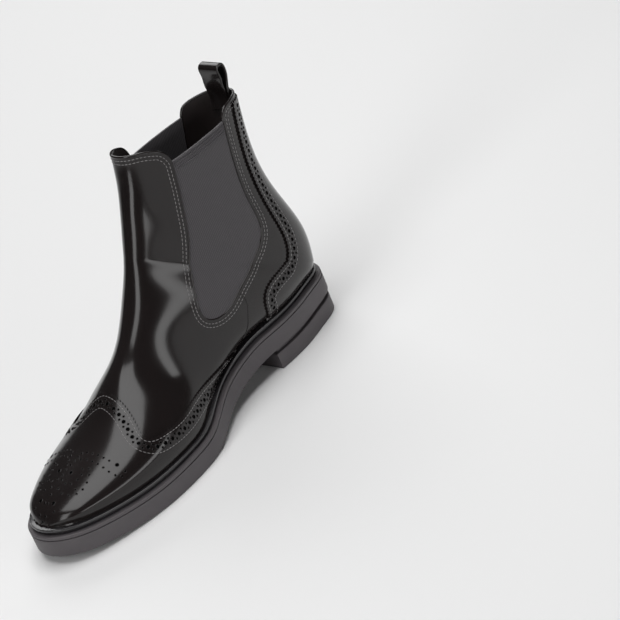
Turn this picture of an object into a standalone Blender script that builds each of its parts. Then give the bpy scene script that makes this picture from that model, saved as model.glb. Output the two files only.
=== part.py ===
"""Chelsea boot with a wing cap: the right boot of a pair, standing on its sole.

X points to the toe, Y to the wearer's left (the medial side), Z up. The origin is on the floor, under the
middle of the sole. Metres.
"""
from collections import namedtuple

import bmesh
import bpy
import numpy as np

# Driving sizes
SOLE_LENGTH = 0.285
BALL_WIDTH = 0.0987
HEEL_LENGTH = 0.077
HEEL_HEIGHT = 0.0149
HEEL_INSET = 0.0010
HEEL_NECK_DEPTH = 0.0024
HEEL_NECK_HEIGHT = 0.0030
TOE_SPRING = 0.0068
BAND_HEIGHT = 0.0151
BAND_GROOVE = 0.0008
BAND_LIP = 0.0021
TREAD_DEPTH = 0.0025
LUG_DROP = 0.0005
RIM_WIDTH = 0.0088
STUD_RADIUS = 0.0077
WELT_HEIGHT = 0.0040
WELT_LEDGE = 0.0052
WELT_INSET = 0.0026
WELT_RECESS = 0.0011
WELT_REACH = 0.0065
INSTEP_RISE = 0.086
LEG_RISE = 0.0686
BACK_RISE = 0.1377
WALL = 0.0018
OVERLAY = 0.0010
GORE_THICKNESS = 0.0012
INSOLE_THICKNESS = 0.0030
LOOP_WIDTH = 0.017
LOOP_RISE = 0.023
LOOP_TAIL = 0.012
LOOP_STRAP = 0.0016
LOOP_GAP = 0.0014
CLEARANCE = 0.0003
STATIONS = 34

# Places along the sole, as shares of its length from the heel
TREAD_START = 0.61
SPRING_START = 0.70
TOE_TURN = 0.035

# Colour and roughness
LEATHER = ((0.012, 0.010, 0.010), 0.2)
LINING = ((0.03, 0.026, 0.025), 0.8)
ELASTIC = ((0.09, 0.08, 0.09), 0.75)
RUBBER = ((0.075, 0.068, 0.072), 0.6)

Outline = namedtuple("Outline", "along medial lateral ledge")
OUTLINE = [
    Outline(0.02, 0.179, 0.137, 0.80),
    Outline(0.07, 0.255, 0.247, 0.80),
    Outline(0.15, 0.300, 0.333, 0.85),
    Outline(0.25, 0.305, 0.360, 1.00),
    Outline(0.35, 0.276, 0.365, 1.20),
    Outline(0.45, 0.317, 0.418, 1.25),
    Outline(0.55, 0.442, 0.490, 1.10),
    Outline(0.65, 0.488, 0.512, 1.00),
    Outline(0.74, 0.481, 0.484, 1.00),
    Outline(0.82, 0.437, 0.419, 1.05),
    Outline(0.90, 0.359, 0.311, 1.15),
    Outline(0.96, 0.263, 0.197, 1.30),
]

# Sections of the last, from the toe to the collar. Each is a line in the side view, from the top line
# (front, with its height as shares of the instep's and the leg's rise) to the feather edge or the back
# line (seat, back). Widths and the crest's place are shares of the ball's width.
Section = namedtuple(
    "Section", "front instep leg seat back medial lateral widest crown_in crown_out wall crest")
SECTIONS = [
    Section(1.000, 0.000, 0.000, 1.000, 0.000, 0.035, 0.035, 0.60, 2.00, 2.00, 2.40, 0.000),
    Section(0.990, 0.070, 0.000, 0.987, 0.000, 0.081, 0.071, 0.60, 2.00, 1.90, 2.40, 0.000),
    Section(0.972, 0.122, 0.000, 0.959, 0.000, 0.132, 0.111, 0.62, 2.00, 1.80, 2.40, 0.000),
    Section(0.937, 0.176, 0.000, 0.919, 0.000, 0.182, 0.147, 0.66, 2.00, 1.70, 2.30, 0.000),
    Section(0.891, 0.229, 0.000, 0.864, 0.000, 0.223, 0.182, 0.70, 2.00, 1.60, 2.30, 0.000),
    Section(0.826, 0.299, 0.000, 0.784, 0.000, 0.253, 0.218, 0.72, 2.00, 1.45, 2.30, 0.000),
    Section(0.753, 0.390, 0.000, 0.678, 0.000, 0.263, 0.258, 0.74, 2.00, 1.40, 2.30, 0.005),
    Section(0.681, 0.522, 0.000, 0.550, 0.000, 0.263, 0.279, 0.74, 2.00, 1.55, 2.30, 0.005),
    Section(0.612, 0.668, 0.000, 0.403, 0.000, 0.274, 0.289, 0.72, 2.00, 1.65, 2.30, 0.010),
    Section(0.553, 0.829, 0.000, 0.257, 0.000, 0.284, 0.299, 0.70, 2.10, 1.80, 2.40, 0.010),
    Section(0.502, 1.000, 0.000, 0.111, 0.000, 0.289, 0.304, 0.68, 2.10, 2.00, 2.50, 0.000),
    Section(0.470, 1.000, 0.208, 0.000, 0.000, 0.291, 0.306, 0.66, 2.10, 2.10, 2.70, 0.000),
    Section(0.445, 1.000, 0.394, -0.012, 0.184, 0.287, 0.300, 0.62, 2.10, 2.10, 2.70, 0.000),
    Section(0.423, 1.000, 0.567, 0.010, 0.402, 0.261, 0.274, 0.58, 2.10, 2.10, 2.60, 0.000),
    Section(0.404, 1.000, 0.727, 0.025, 0.598, 0.242, 0.243, 0.54, 2.20, 2.20, 2.50, 0.000),
    Section(0.393, 1.000, 0.849, 0.019, 0.780, 0.228, 0.228, 0.52, 2.30, 2.30, 2.50, 0.000),
    Section(0.384, 1.000, 0.987, -0.002, 0.998, 0.220, 0.218, 0.50, 2.40, 2.40, 2.50, 0.000),
    Section(0.382, 1.000, 1.060, -0.008, 1.060, 0.218, 0.216, 0.50, 2.40, 2.40, 2.50, 0.000),
]

# Side-view lines: share of the sole's length from the heel, and share of the height from the heel's seat
# to the line between the back and the front of the collar
SidePoint = namedtuple("SidePoint", "along rise")
GORE_LINE = [
    SidePoint(0.297, 0.908),
    SidePoint(0.317, 0.745),
    SidePoint(0.362, 0.507),
    SidePoint(0.407, 0.336),
    SidePoint(0.414, 0.241),
    SidePoint(0.380, 0.202),
    SidePoint(0.301, 0.233),
    SidePoint(0.204, 0.306),
    SidePoint(0.163, 0.379),
    SidePoint(0.153, 0.539),
    SidePoint(0.138, 0.740),
    SidePoint(0.116, 0.926),
]
COLLAR_LINE = [
    SidePoint(0.470, 1.015),
    SidePoint(0.370, 1.006),
    SidePoint(0.354, 1.004),
    SidePoint(0.335, 0.993),
    SidePoint(0.314, 0.975),
    SidePoint(0.305, 0.955),
    SidePoint(0.299, 0.927),
    SidePoint(0.297, 0.908),
    SidePoint(0.116, 0.926),
    SidePoint(0.110, 0.951),
    SidePoint(0.102, 0.969),
    SidePoint(0.085, 0.977),
    SidePoint(0.048, 0.983),
    SidePoint(-0.05, 0.985),
]

# Edges of the overlays on the last: around is 0 at the toe, 1 at the heel's seat and 2 at the collar,
# down is 0 at the top line and 1 at the feather edge or the back line
EdgePoint = namedtuple("EdgePoint", "around down")
WING_EDGE = [
    EdgePoint(0.485, 0.00),
    EdgePoint(0.425, 0.12),
    EdgePoint(0.375, 0.26),
    EdgePoint(0.370, 0.36),
    EdgePoint(0.400, 0.46),
    EdgePoint(0.470, 0.60),
    EdgePoint(0.560, 0.76),
    EdgePoint(0.680, 1.00),
]
COUNTER_EDGE = [
    EdgePoint(0.780, 1.00),
    EdgePoint(0.840, 0.80),
    EdgePoint(1.000, 0.74),
    EdgePoint(1.250, 0.76),
    EdgePoint(1.500, 0.80),
    EdgePoint(1.900, 0.87),
]


def spline(knots, values, at):
    """Natural cubic spline through rows of values."""
    knots = np.asarray(knots, float)
    values = np.asarray(values, float).reshape(len(knots), -1)
    at = np.asarray(at, float)
    steps = np.diff(knots)
    system = np.eye(len(knots))
    bends = np.zeros_like(values)
    for i in range(1, len(knots) - 1):
        system[i, i - 1:i + 2] = steps[i - 1], 2 * (steps[i - 1] + steps[i]), steps[i]
        bends[i] = 6 * ((values[i + 1] - values[i]) / steps[i] - (values[i] - values[i - 1]) / steps[i - 1])
    curve = np.linalg.solve(system, bends)
    k = np.clip(np.searchsorted(knots, at) - 1, 0, len(knots) - 2)
    t = (at - knots[k])[:, None]
    h = steps[k][:, None]
    slope = (values[k + 1] - values[k]) / h - h * (2 * curve[k] + curve[k + 1]) / 6
    return values[k] + t * slope + t ** 2 * curve[k] / 2 + t ** 3 * (curve[k + 1] - curve[k]) / (6 * h)


def smooth_line(points, count):
    """Points spread along a smooth line through the given ones."""
    points = np.asarray(points, float)
    place = np.concatenate([[0], np.cumsum(np.linalg.norm(np.diff(points, axis=0), axis=1))])
    return spline(place, points, np.linspace(0, place[-1], count))


def x_at(along):
    return (np.asarray(along, float) - 0.5) * SOLE_LENGTH


def centre_y(x):
    """The toe's turn to the medial side, away from the sole's straight axis."""
    along = np.asarray(x) / SOLE_LENGTH + 0.5
    return TOE_TURN * BALL_WIDTH * np.clip(2 * along - 1, 0, 1) ** 3


def edge(count, inset=0.0, ledges=0.0):
    """Closed ring of the sole's edge in plan, heel first, moved in by inset and a number of ledges."""
    along = (1 - np.cos(np.linspace(0, np.pi, count + 1))) / 2
    rows = np.array(OUTLINE)
    end = np.sqrt(rows[:, 0] * (1 - rows[:, 0]))
    centre = centre_y(x_at(rows[:, 0])) / BALL_WIDTH
    widths = np.stack([(rows[:, 1] - centre) / end, (rows[:, 2] + centre) / end, rows[:, 3]], 1)
    medial, lateral, ledge = spline(rows[:, 0], widths, along).T
    x = x_at(along)
    shape = np.sqrt(along * (1 - along)) * BALL_WIDTH
    medial = centre_y(x) + medial * shape
    lateral = centre_y(x) - lateral * shape
    ring = np.stack([np.append(x, x[-2:0:-1]), np.append(medial, lateral[-2:0:-1])], 1)
    move = inset + ledges * WELT_LEDGE * np.append(ledge, ledge[-2:0:-1])
    tangent = np.roll(ring, -1, 0) - np.roll(ring, 1, 0)
    tangent /= np.linalg.norm(tangent, axis=1)[:, None]
    inward = np.stack([tangent[:, 1], -tangent[:, 0]], 1)
    return ring + inward * move[:, None]


def underside(x):
    """Height of the sole's lower edge: level over the heel, down to the tread, up at the toe."""
    along = np.asarray(x) / SOLE_LENGTH + 0.5
    breast = HEEL_LENGTH / SOLE_LENGTH
    t = np.clip((TREAD_START - along) / (TREAD_START - breast), 0, 1)
    soft = 0.2
    low = t ** 2 / (2 * soft * (1 - soft))
    middle = (t - soft / 2) / (1 - soft)
    high = 1 - (1 - t) ** 2 / (2 * soft * (1 - soft))
    fall = np.where(t < soft, low, np.where(t > 1 - soft, high, middle))
    spring = np.clip((along - SPRING_START) / (1 - SPRING_START), 0, None) ** 2
    return HEEL_HEIGHT * fall + TOE_SPRING * spring


def seat(x):
    """Height on which the upper stands, a clearance above the welt."""
    return underside(x) + BAND_HEIGHT + WELT_HEIGHT + 2 * CLEARANCE


def last_points(around, down, side):
    """Points on the last's outer surface, for arrays of around and down on one side (1 medial)."""
    ring = edge(240, ledges=1)
    half = len(ring) // 2
    heel_x, toe_x = ring[0, 0], ring[half, 0]
    rows = np.array(SECTIONS)
    top = np.stack([rows[:, 0], rows[:, 1] * INSTEP_RISE + rows[:, 2] * LEG_RISE], 1)
    top[:, 0] = heel_x + (toe_x - heel_x) * top[:, 0]
    top[:, 1] += seat(top[:, 0])
    foot = np.stack([heel_x + (toe_x - heel_x) * rows[:, 3], rows[:, 4] * BACK_RISE], 1)
    foot[:, 1] += np.where(rows[:, 4] > 0, seat(heel_x), seat(foot[:, 0]))
    stride = np.linalg.norm(np.diff(top, axis=0), axis=1) + np.linalg.norm(np.diff(foot, axis=0), axis=1) / 2
    place = np.append(0, np.cumsum(stride))
    corner = int(np.argmax(rows[:, 4] > 0)) - 1
    shape = np.shape(around)
    around, down = np.ravel(around), np.ravel(down)
    on_seat = around <= 1
    at = np.where(on_seat, around * place[corner], place[corner] + (around - 1) * (place[-1] - place[corner]))
    top_line = spline(place, top, at)
    foot_line = np.empty_like(top_line)
    foot_line[on_seat, :1] = spline(place[:corner + 1], foot[:corner + 1, 0], at[on_seat])
    foot_line[on_seat, 1] = seat(foot_line[on_seat, 0])
    foot_line[~on_seat] = spline(place[corner:], foot[corner:], at[~on_seat])
    medial, lateral, widest, crown_in, crown_out, wall, crest = spline(place, rows[:, 5:], at).T
    width, crown = (medial, crown_in) if side > 0 else (lateral, crown_out)
    feather = ring[:half + 1] if side > 0 else np.vstack([ring[:1], ring[:half - 1:-1]])
    reach = side * (np.interp(foot_line[:, 0], feather[:, 0], feather[:, 1]) - centre_y(foot_line[:, 0]))
    reach = np.where((around > 0) & (around < 1), np.clip(reach, 0, None), 0)
    full = ((width * BALL_WIDTH) ** 4 + reach ** 4) ** 0.25 * (around > 0)
    crest = side * crest * BALL_WIDTH
    squeeze = (1 - np.clip(reach / np.maximum(full, 1e-9), 0, 1) ** wall) ** (1 / wall)
    rise = np.clip((widest - down) / widest, 0, 1)
    fall = np.clip((down - widest) / (1 - widest), 0, 1)
    crowned = crest + (full - crest) * (1 - rise ** crown) ** (1 / crown)
    walled = full * (1 - np.clip(squeeze * fall, 0, 1) ** wall) ** (1 / wall)
    x = top_line[:, 0] * (1 - down) + foot_line[:, 0] * down
    z = top_line[:, 1] * (1 - down) + foot_line[:, 1] * down
    y = centre_y(x) + side * np.where(down < widest, crowned, walled)
    return np.stack([x, y, z], 1).reshape(shape + (3,))


def ease(count, toe):
    """Shares from 0 to 1, closer together at the start and the end."""
    t = np.linspace(0, 1, count + 1)
    return t - toe * np.sin(2 * np.pi * t) / (2 * np.pi)


def spread(count):
    """Shares from 0 to 1, close together near both ends, where a section turns fastest."""
    t = np.linspace(-1, 1, count + 1)
    return (1 + np.sign(t) * (1 - (1 - np.abs(t)) ** 2)) / 2


def add_object(name, bm, colour, roughness, metallic=0.0):
    """Object from a closed bmesh, its faces pointing out, with a material of its own."""
    bmesh.ops.remove_doubles(bm, verts=bm.verts, dist=1e-6)
    bmesh.ops.dissolve_degenerate(bm, dist=1e-6, edges=bm.edges)
    bmesh.ops.triangulate(bm, faces=[face for face in bm.faces if len(face.verts) > 3])
    bmesh.ops.recalc_face_normals(bm, faces=bm.faces)
    if bm.calc_volume(signed=True) < 0:
        bmesh.ops.reverse_faces(bm, faces=bm.faces)
    mesh = bpy.data.meshes.new(name)
    bm.to_mesh(mesh)
    bm.free()
    mesh.shade_smooth()
    mesh.set_sharp_from_angle(angle=np.radians(40))
    thing = bpy.data.objects.new(name, mesh)
    bpy.context.scene.collection.objects.link(thing)
    material = bpy.data.materials.new(name)
    material.use_nodes = True
    shader = material.node_tree.nodes["Principled BSDF"]
    shader.inputs["Base Color"].default_value = (*colour, 1)
    shader.inputs["Roughness"].default_value = roughness
    shader.inputs["Metallic"].default_value = metallic
    mesh.materials.append(material)
    return thing


def bridge(bm, first, second, closed=True):
    """Quads between two rows of vertices."""
    count = len(first)
    for i in range(count if closed else count - 1):
        j = (i + 1) % count
        corners = []
        for vert in (first[i], first[j], second[j], second[i]):
            if vert not in corners:
                corners.append(vert)
        if len(corners) > 2:
            bm.faces.new(corners)


def strip_cap(bm, ring):
    """Closes a ring of the sole, heel first, with strips across it that follow its height."""
    half = len(ring) // 2
    medial = ring[:half + 1]
    lateral = [ring[0]] + ring[:half - 1:-1]
    bridge(bm, medial, lateral, closed=False)


def surface_normals(grid, side):
    """Outward unit normals of a grid on one side of the last."""
    normal = side * np.cross(np.gradient(grid, axis=1), np.gradient(grid, axis=0))
    return normal / np.maximum(np.linalg.norm(normal, axis=2, keepdims=True), 1e-12)


def shell(name, around, down, outer, inner, look, sides=(1, -1), drop=0.0):
    """Wall between two offsets of the last's surface, over a grid of around and down on each side.

    The sides are joined along the top line and the back line, where their points are the same. The foot
    stands on the seat, or reaches below it by drop.
    """
    grids = [last_points(around, down, side) for side in sides]
    normals = [surface_normals(grid, side) for grid, side in zip(grids, sides)]
    meet = np.zeros(around.shape, bool)
    if len(sides) == 2:
        meet = np.linalg.norm(grids[0] - grids[1], axis=2) < 1e-6
        shared = normals[0] + normals[1]
        for normal in normals:
            normal[meet] = shared[meet]
    foot = (down > 0.9999) & (around <= 1)
    bm = bmesh.new()
    for grid, normal in zip(grids, normals):
        normal[foot, 2] = 0
        normal[around == 0] = (1, 0, 0)
        normal /= np.maximum(np.linalg.norm(normal, axis=2, keepdims=True), 1e-9)
        layers = []
        for offset in (outer, inner):
            points = grid + normal * offset
            floor = seat(points[..., 0]) - drop
            points[..., 2] = np.where(foot, floor, np.maximum(points[..., 2], floor))
            layers.append([[bm.verts.new(point) for point in row] for row in points])
        for layer in layers:
            for first, second in zip(layer, layer[1:]):
                bridge(bm, first, second, closed=False)
        border = [(0, j) for j in range(around.shape[1])]
        border += [(i, around.shape[1] - 1) for i in range(1, around.shape[0])]
        border += [(around.shape[0] - 1, j) for j in range(around.shape[1] - 2, -1, -1)]
        border += [(i, 0) for i in range(around.shape[0] - 2, -1, -1)]
        for one, two in zip(border, border[1:]):
            if not (meet[one] and meet[two]):
                rim = [[layer[i][j] for i, j in (one, two)] for layer in layers]
                bridge(bm, rim[0], rim[1], closed=False)
    return add_object(name, bm, *look)


def line_at(points, at):
    """Values of a line's second column at given values of its first, which grows."""
    points = np.array(points)
    return spline(points[:, 0], points[:, 1], at)[:, 0]


def side_points(rows):
    """Side-view points in metres, from shares of the sole's length and of the shaft's height."""
    rows = np.array(rows)
    ring = edge(240, ledges=1)
    heel_x, toe_x = ring[0, 0], ring[len(ring) // 2, 0]
    back, front = SECTIONS[-2].seat, SECTIONS[-2].front
    back_x, front_x = heel_x + (toe_x - heel_x) * back, heel_x + (toe_x - heel_x) * front
    front_rise = seat(front_x) + INSTEP_RISE + LEG_RISE - seat(heel_x)
    x = x_at(rows[:, 0])
    rise = BACK_RISE + (front_rise - BACK_RISE) * (x - back_x) / (front_x - back_x)
    return np.stack([x, seat(heel_x) + rows[:, 1] * rise], 1)


def inset_line(points, inset):
    """A closed outline moved in by inset."""
    points = np.asarray(points)
    ahead = np.roll(points, -1, 0) - points
    ahead /= np.linalg.norm(ahead, axis=1)[:, None]
    behind = np.roll(ahead, 1, 0)
    turned = np.stack([-(ahead + behind)[:, 1], (ahead + behind)[:, 0]], 1)
    turned /= np.linalg.norm(turned, axis=1)[:, None]
    area = np.sum(points[:, 0] * np.roll(points[:, 1], -1) - np.roll(points[:, 0], -1) * points[:, 1])
    lean = np.abs(np.sum(turned * np.stack([-ahead[:, 1], ahead[:, 0]], 1), 1))
    return points + np.sign(area) * turned * (inset / np.maximum(lean, 0.4))[:, None]


def side_cutter(name, points):
    """Prism through the boot along Y, from an outline in the side view."""
    bm = bmesh.new()
    rings = [[bm.verts.new((x, y, z)) for x, z in points] for y in (-BALL_WIDTH, BALL_WIDTH)]
    bridge(bm, *rings)
    bm.faces.new(rings[0])
    bm.faces.new(rings[1])
    bmesh.ops.recalc_face_normals(bm, faces=bm.faces)
    mesh = bpy.data.meshes.new(name)
    bm.to_mesh(mesh)
    bm.free()
    cutter = bpy.data.objects.new(name, mesh)
    cutter.hide_render = True
    cutter.display_type = "WIRE"
    bpy.context.scene.collection.objects.link(cutter)
    return cutter


def combine(target, tools, operation):
    """Applies exact Booleans of the tools to the target and removes the tools."""
    for tool in tools:
        step = target.modifiers.new(tool.name, "BOOLEAN")
        step.operation = operation
        step.solver = "EXACT"
        step.object = tool
    depsgraph = bpy.context.evaluated_depsgraph_get()
    mesh = bpy.data.meshes.new_from_object(target.evaluated_get(depsgraph))
    target.modifiers.clear()
    target.data = mesh
    for tool in tools:
        bpy.data.objects.remove(tool)
    return target


def ring_loops(bm, profile, count, base=0.0, height=underside):
    """Loops of vertices round the sole, one for each (inset, ledges, rise) of a profile."""
    loops = []
    for inset, ledges, rise in profile:
        ring = edge(count, inset, ledges)
        z = height(ring[:, 0]) + base + rise
        loops.append([bm.verts.new((x, y, level)) for (x, y), level in zip(ring, z)])
    for first, second in zip(loops, loops[1:]):
        bridge(bm, first, second)
    return loops


def recess_floor(x):
    """Height of the tread's floor: level with the edge over the heel, deeper from its breast on."""
    breast = HEEL_LENGTH / SOLE_LENGTH
    deep = np.clip((np.asarray(x) / SOLE_LENGTH + 0.5 - breast + 0.04) / 0.04, 0, 1)
    return underside(x) + TREAD_DEPTH * deep


def sole_prism(points, low, high):
    """Block under the sole, from a plan outline, its faces following the sole's lower edge."""
    bm = bmesh.new()
    points = np.asarray(points)
    rings = []
    for rise in (low, high):
        z = underside(points[:, 0]) + rise
        rings.append([bm.verts.new((x, y, level)) for (x, y), level in zip(points, z)])
    bridge(bm, *rings)
    bm.faces.new(rings[0])
    bm.faces.new(rings[1])
    bmesh.ops.triangulate(bm, faces=bm.faces)
    bmesh.ops.recalc_face_normals(bm, faces=bm.faces)
    mesh = bpy.data.meshes.new("lug")
    bm.to_mesh(mesh)
    bm.free()
    block = bpy.data.objects.new("lug", mesh)
    bpy.context.scene.collection.objects.link(block)
    return block


# Studs and the lugs behind them: the stud's centre (share of the length, share of the ball's width) and
# the stretch of the rim that its lug grows from, as shares of the length; a centre stud has no lug
Stud = namedtuple("Stud", "along across rim_from rim_to")
STUDS = [
    Stud(0.521, 0.084, 0.466, 0.520),
    Stud(0.573, 0.159, 0.534, 0.585),
    Stud(0.633, 0.200, 0.592, 0.655),
    Stud(0.700, 0.202, 0.666, 0.731),
    Stud(0.770, 0.176, 0.744, 0.816),
    Stud(0.516, -0.208, 0.465, 0.524),
    Stud(0.576, -0.232, 0.533, 0.595),
    Stud(0.637, -0.213, 0.605, 0.667),
    Stud(0.701, -0.170, 0.682, 0.747),
    Stud(0.765, -0.111, 0.760, 0.828),
    Stud(0.572, -0.051, None, None),
    Stud(0.639, -0.011, None, None),
    Stud(0.712, 0.019, None, None),
]
# The toe's fan of lugs: its edge from the medial rim round the hub to the lateral rim
FAN_HUB = [(0.812, 0.123), (0.818, 0.075), (0.817, 0.020), (0.805, -0.038)]
FAN_RIM = (0.828, 0.839)


def rim_point(along, side, inset):
    """Point of the tread rim at a share of the length, moved in from the edge."""
    ring = edge(80, inset)
    half = len(ring) // 2
    line = ring[:half + 1] if side > 0 else np.vstack([ring[:1], ring[:half - 1:-1]])
    return np.array([x_at(along), np.interp(x_at(along), line[:, 0], line[:, 1])])


def build_outsole():
    """Rubber unit: side band with a groove near its top, rim, tread floor, lugs and studs."""
    bm = bmesh.new()
    lip = BAND_HEIGHT - BAND_LIP
    wall = [
        (RIM_WIDTH, 0, 0),
        (0.0008, 0, 0),
        (0, 0, 0.0008),
        (0, 0, lip - BAND_GROOVE),
        (BAND_GROOVE, 0, lip - BAND_GROOVE * 0.8),
        (BAND_GROOVE, 0, lip - BAND_GROOVE * 0.2),
        (0, 0, lip),
        (0, 0, BAND_HEIGHT - 0.0003),
        (0.0003, 0, BAND_HEIGHT),
    ]
    loops = ring_loops(bm, wall, STATIONS)
    floor = ring_loops(bm, [(RIM_WIDTH + 0.0004, 0, 0)], STATIONS, height=recess_floor)[0]
    bridge(bm, floor, loops[0])
    strip_cap(bm, floor)
    strip_cap(bm, loops[-1])
    sole = add_object("outsole", bm, *RUBBER)
    root = TREAD_DEPTH + 0.0012
    blocks = []
    for stud in STUDS:
        centre = np.array([x_at(stud.along), stud.across * BALL_WIDTH])
        turn = np.linspace(0, 2 * np.pi, 13)[:-1]
        circle = centre + STUD_RADIUS * np.stack([np.cos(turn), np.sin(turn)], 1)
        blocks.append(sole_prism(circle, 0, root))
        if stud.rim_from:
            side = np.sign(stud.across)
            rim = [rim_point(along, side, RIM_WIDTH - 0.0012) for along in (stud.rim_from, stud.rim_to)]
            ahead = (rim[1] - rim[0]) / np.linalg.norm(rim[1] - rim[0])
            flank = ahead * STUD_RADIUS * 0.93
            blocks.append(sole_prism([rim[0], rim[1], centre + flank, centre - flank], LUG_DROP, root))
    hub = [(x_at(along), across * BALL_WIDTH) for along, across in FAN_HUB]
    rim = edge(60, RIM_WIDTH - 0.0012)
    half = len(rim) // 2
    medial = [p for p in rim[:half + 1] if p[0] > x_at(FAN_RIM[0])]
    lateral = [p for p in rim[half + 1:] if p[0] > x_at(FAN_RIM[1])]
    ends = [rim_point(FAN_RIM[0], 1, RIM_WIDTH - 0.0012), rim_point(FAN_RIM[1], -1, RIM_WIDTH - 0.0012)]
    blocks.append(sole_prism([ends[0], *medial, *lateral, ends[1], *hub[::-1]], LUG_DROP, root))
    return combine(sole, blocks, "UNION")


def heel_ring(count, inset):
    """Plan outline of the heel block, from one corner of its breast round the back to the other."""
    ring = edge(120, inset)
    half = len(ring) // 2
    breast = -SOLE_LENGTH / 2 + HEEL_LENGTH - inset
    line = np.vstack([ring[half:], ring[:half + 1]])
    near = line[:, 0] < breast
    first = int(np.argmax(near))
    last = len(near) - 1 - int(np.argmax(near[::-1]))
    ends = []
    for inner, outer in ((first, first - 1), (last, last + 1)):
        share = (breast - line[inner, 0]) / (line[outer, 0] - line[inner, 0])
        ends.append(line[inner] + share * (line[outer] - line[inner]))
    path = np.vstack([ends[0], line[first:last + 1], ends[1]])
    place = np.append(0, np.cumsum(np.linalg.norm(np.diff(path, axis=0), axis=1)))
    at = np.linspace(0, place[-1], count)
    return np.stack([np.interp(at, place, path[:, 0]), np.interp(at, place, path[:, 1])], 1)


def build_heel():
    """Heel block with a recessed neck under the band."""
    top = HEEL_HEIGHT - CLEARANCE
    block_top = top - HEEL_NECK_HEIGHT
    profile = [
        (HEEL_INSET + 0.0006, 0),
        (HEEL_INSET, 0.0006),
        (HEEL_INSET, block_top - 0.0004),
        (HEEL_INSET + 0.0004, block_top),
        (HEEL_INSET + HEEL_NECK_DEPTH, block_top + 0.0002),
        (HEEL_INSET + HEEL_NECK_DEPTH, top),
    ]
    bm = bmesh.new()
    loops = []
    for inset, z in profile:
        loops.append([bm.verts.new((x, y, z)) for x, y in heel_ring(32, inset)])
    for first, second in zip(loops, loops[1:]):
        bridge(bm, first, second)
    for loop in (loops[0], loops[-1]):
        half = len(loop) // 2
        bridge(bm, loop[:half], loop[:half - 1:-1], closed=False)
    return add_object("heel", bm, *RUBBER)


def build_welt():
    """Strip round the foot of the upper, with an overhanging ridge above a recess."""
    recess = WELT_INSET + WELT_RECESS
    profile = [
        (recess, 0, 0),
        (recess, 0, WELT_HEIGHT * 0.40),
        (WELT_INSET, 0, WELT_HEIGHT * 0.52),
        (WELT_INSET, 0, WELT_HEIGHT - 0.0005),
        (WELT_INSET + 0.0004, 0, WELT_HEIGHT),
        (WELT_REACH, 1, WELT_HEIGHT),
        (WELT_REACH, 1, 0),
    ]
    bm = bmesh.new()
    loops = ring_loops(bm, profile, STATIONS, BAND_HEIGHT + CLEARANCE)
    bridge(bm, loops[-1], loops[0])
    return add_object("welt", bm, *RUBBER)


def build_insole(lift):
    """Board inside the upper, with a lower part that fills the space inside the welt."""
    step = WELT_HEIGHT + CLEARANCE
    shoulder = lift + WALL + 0.0012
    profile = [
        (WELT_REACH + CLEARANCE, 1, 0),
        (WELT_REACH + CLEARANCE, 1, step),
        (shoulder, 1, step),
        (shoulder + 0.0014, 1, step + INSOLE_THICKNESS),
    ]
    bm = bmesh.new()
    loops = ring_loops(bm, profile, STATIONS, BAND_HEIGHT + CLEARANCE)
    strip_cap(bm, loops[0])
    strip_cap(bm, loops[-1])
    return add_object("insole", bm, *LINING)


def last_grid():
    """Around and down of the grid that the upper and its overlays share, so their facets are parallel."""
    rows = np.append(ease(27, 0.8), np.linspace(1, 2, 10)[1:])
    return np.meshgrid(rows, spread(10), indexing="ij")


def build_upper(lift):
    """The leather shell with its collar and its two elastic openings cut in it."""
    upper = shell("upper", *last_grid(), -lift, -lift - WALL, LEATHER)
    collar = side_points(COLLAR_LINE)
    height = collar[:, 1].max() + 0.03
    sky = [(collar[-1, 0], height), (collar[0, 0], height)]
    gore = smooth_line(side_points(GORE_LINE), 24)
    open_top = [(gore[-1, 0], height - 0.02), (gore[0, 0], height - 0.02)]
    tools = [side_cutter("collar_cutter", [*collar, *sky]), side_cutter("gore_cutter", [*gore, *open_top])]
    return combine(upper, tools, "DIFFERENCE")


def build_gore(name, side, lift):
    """Elastic panel filling one opening of the upper."""
    around, down = np.meshgrid(np.linspace(0.62, 2, 15), np.linspace(0.06, 0.94, 9), indexing="ij")
    outer = -lift - (WALL - GORE_THICKNESS) * 0.7
    panel = shell(name, around, down, outer, outer - GORE_THICKNESS, ELASTIC, sides=(side,))
    outline = inset_line(smooth_line(side_points(GORE_LINE), 24), CLEARANCE)
    return combine(panel, [side_cutter("gore_outline", outline)], "INTERSECT")


def build_overlay(name, lift, around, down):
    """Leather layer over the upper, cut out along the border of a finer grid of around and down."""
    layer = shell(name, *last_grid(), OVERLAY + CLEARANCE - lift, CLEARANCE - lift, LEATHER)
    cutter = shell("overlay_cutter", around, down, 4 * OVERLAY, -4 * OVERLAY, LEATHER, drop=OVERLAY)
    cutter.hide_render = True
    return combine(layer, [cutter], "INTERSECT")


def build_toe_cap(lift):
    """Wing cap: from the toe to its edge, which peaks on the top line and runs back along the sides."""
    down = spread(16)
    reach = line_at([(point.down, point.around) for point in WING_EDGE], down)
    around = ease(14, 0.6)[:, None] * reach[None, :]
    return build_overlay("toe_cap", lift, around, np.broadcast_to(down, around.shape))


def build_counter(lift):
    """Overlay round the heel: from its front edge on each side to the back line."""
    low = 1 - (1 - COUNTER_EDGE[0].around) * (1 - np.linspace(0, 1, 8)) ** 2
    around = np.append(low, np.linspace(1, COUNTER_EDGE[-1].around, 8)[1:])
    start = line_at(COUNTER_EDGE, around)
    start[0] = 0.97
    down = start[:, None] + (1 - start[:, None]) * np.linspace(0, 1, 12)[None, :]
    return build_overlay("heel_counter", lift, np.broadcast_to(around[:, None], down.shape), down)


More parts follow.
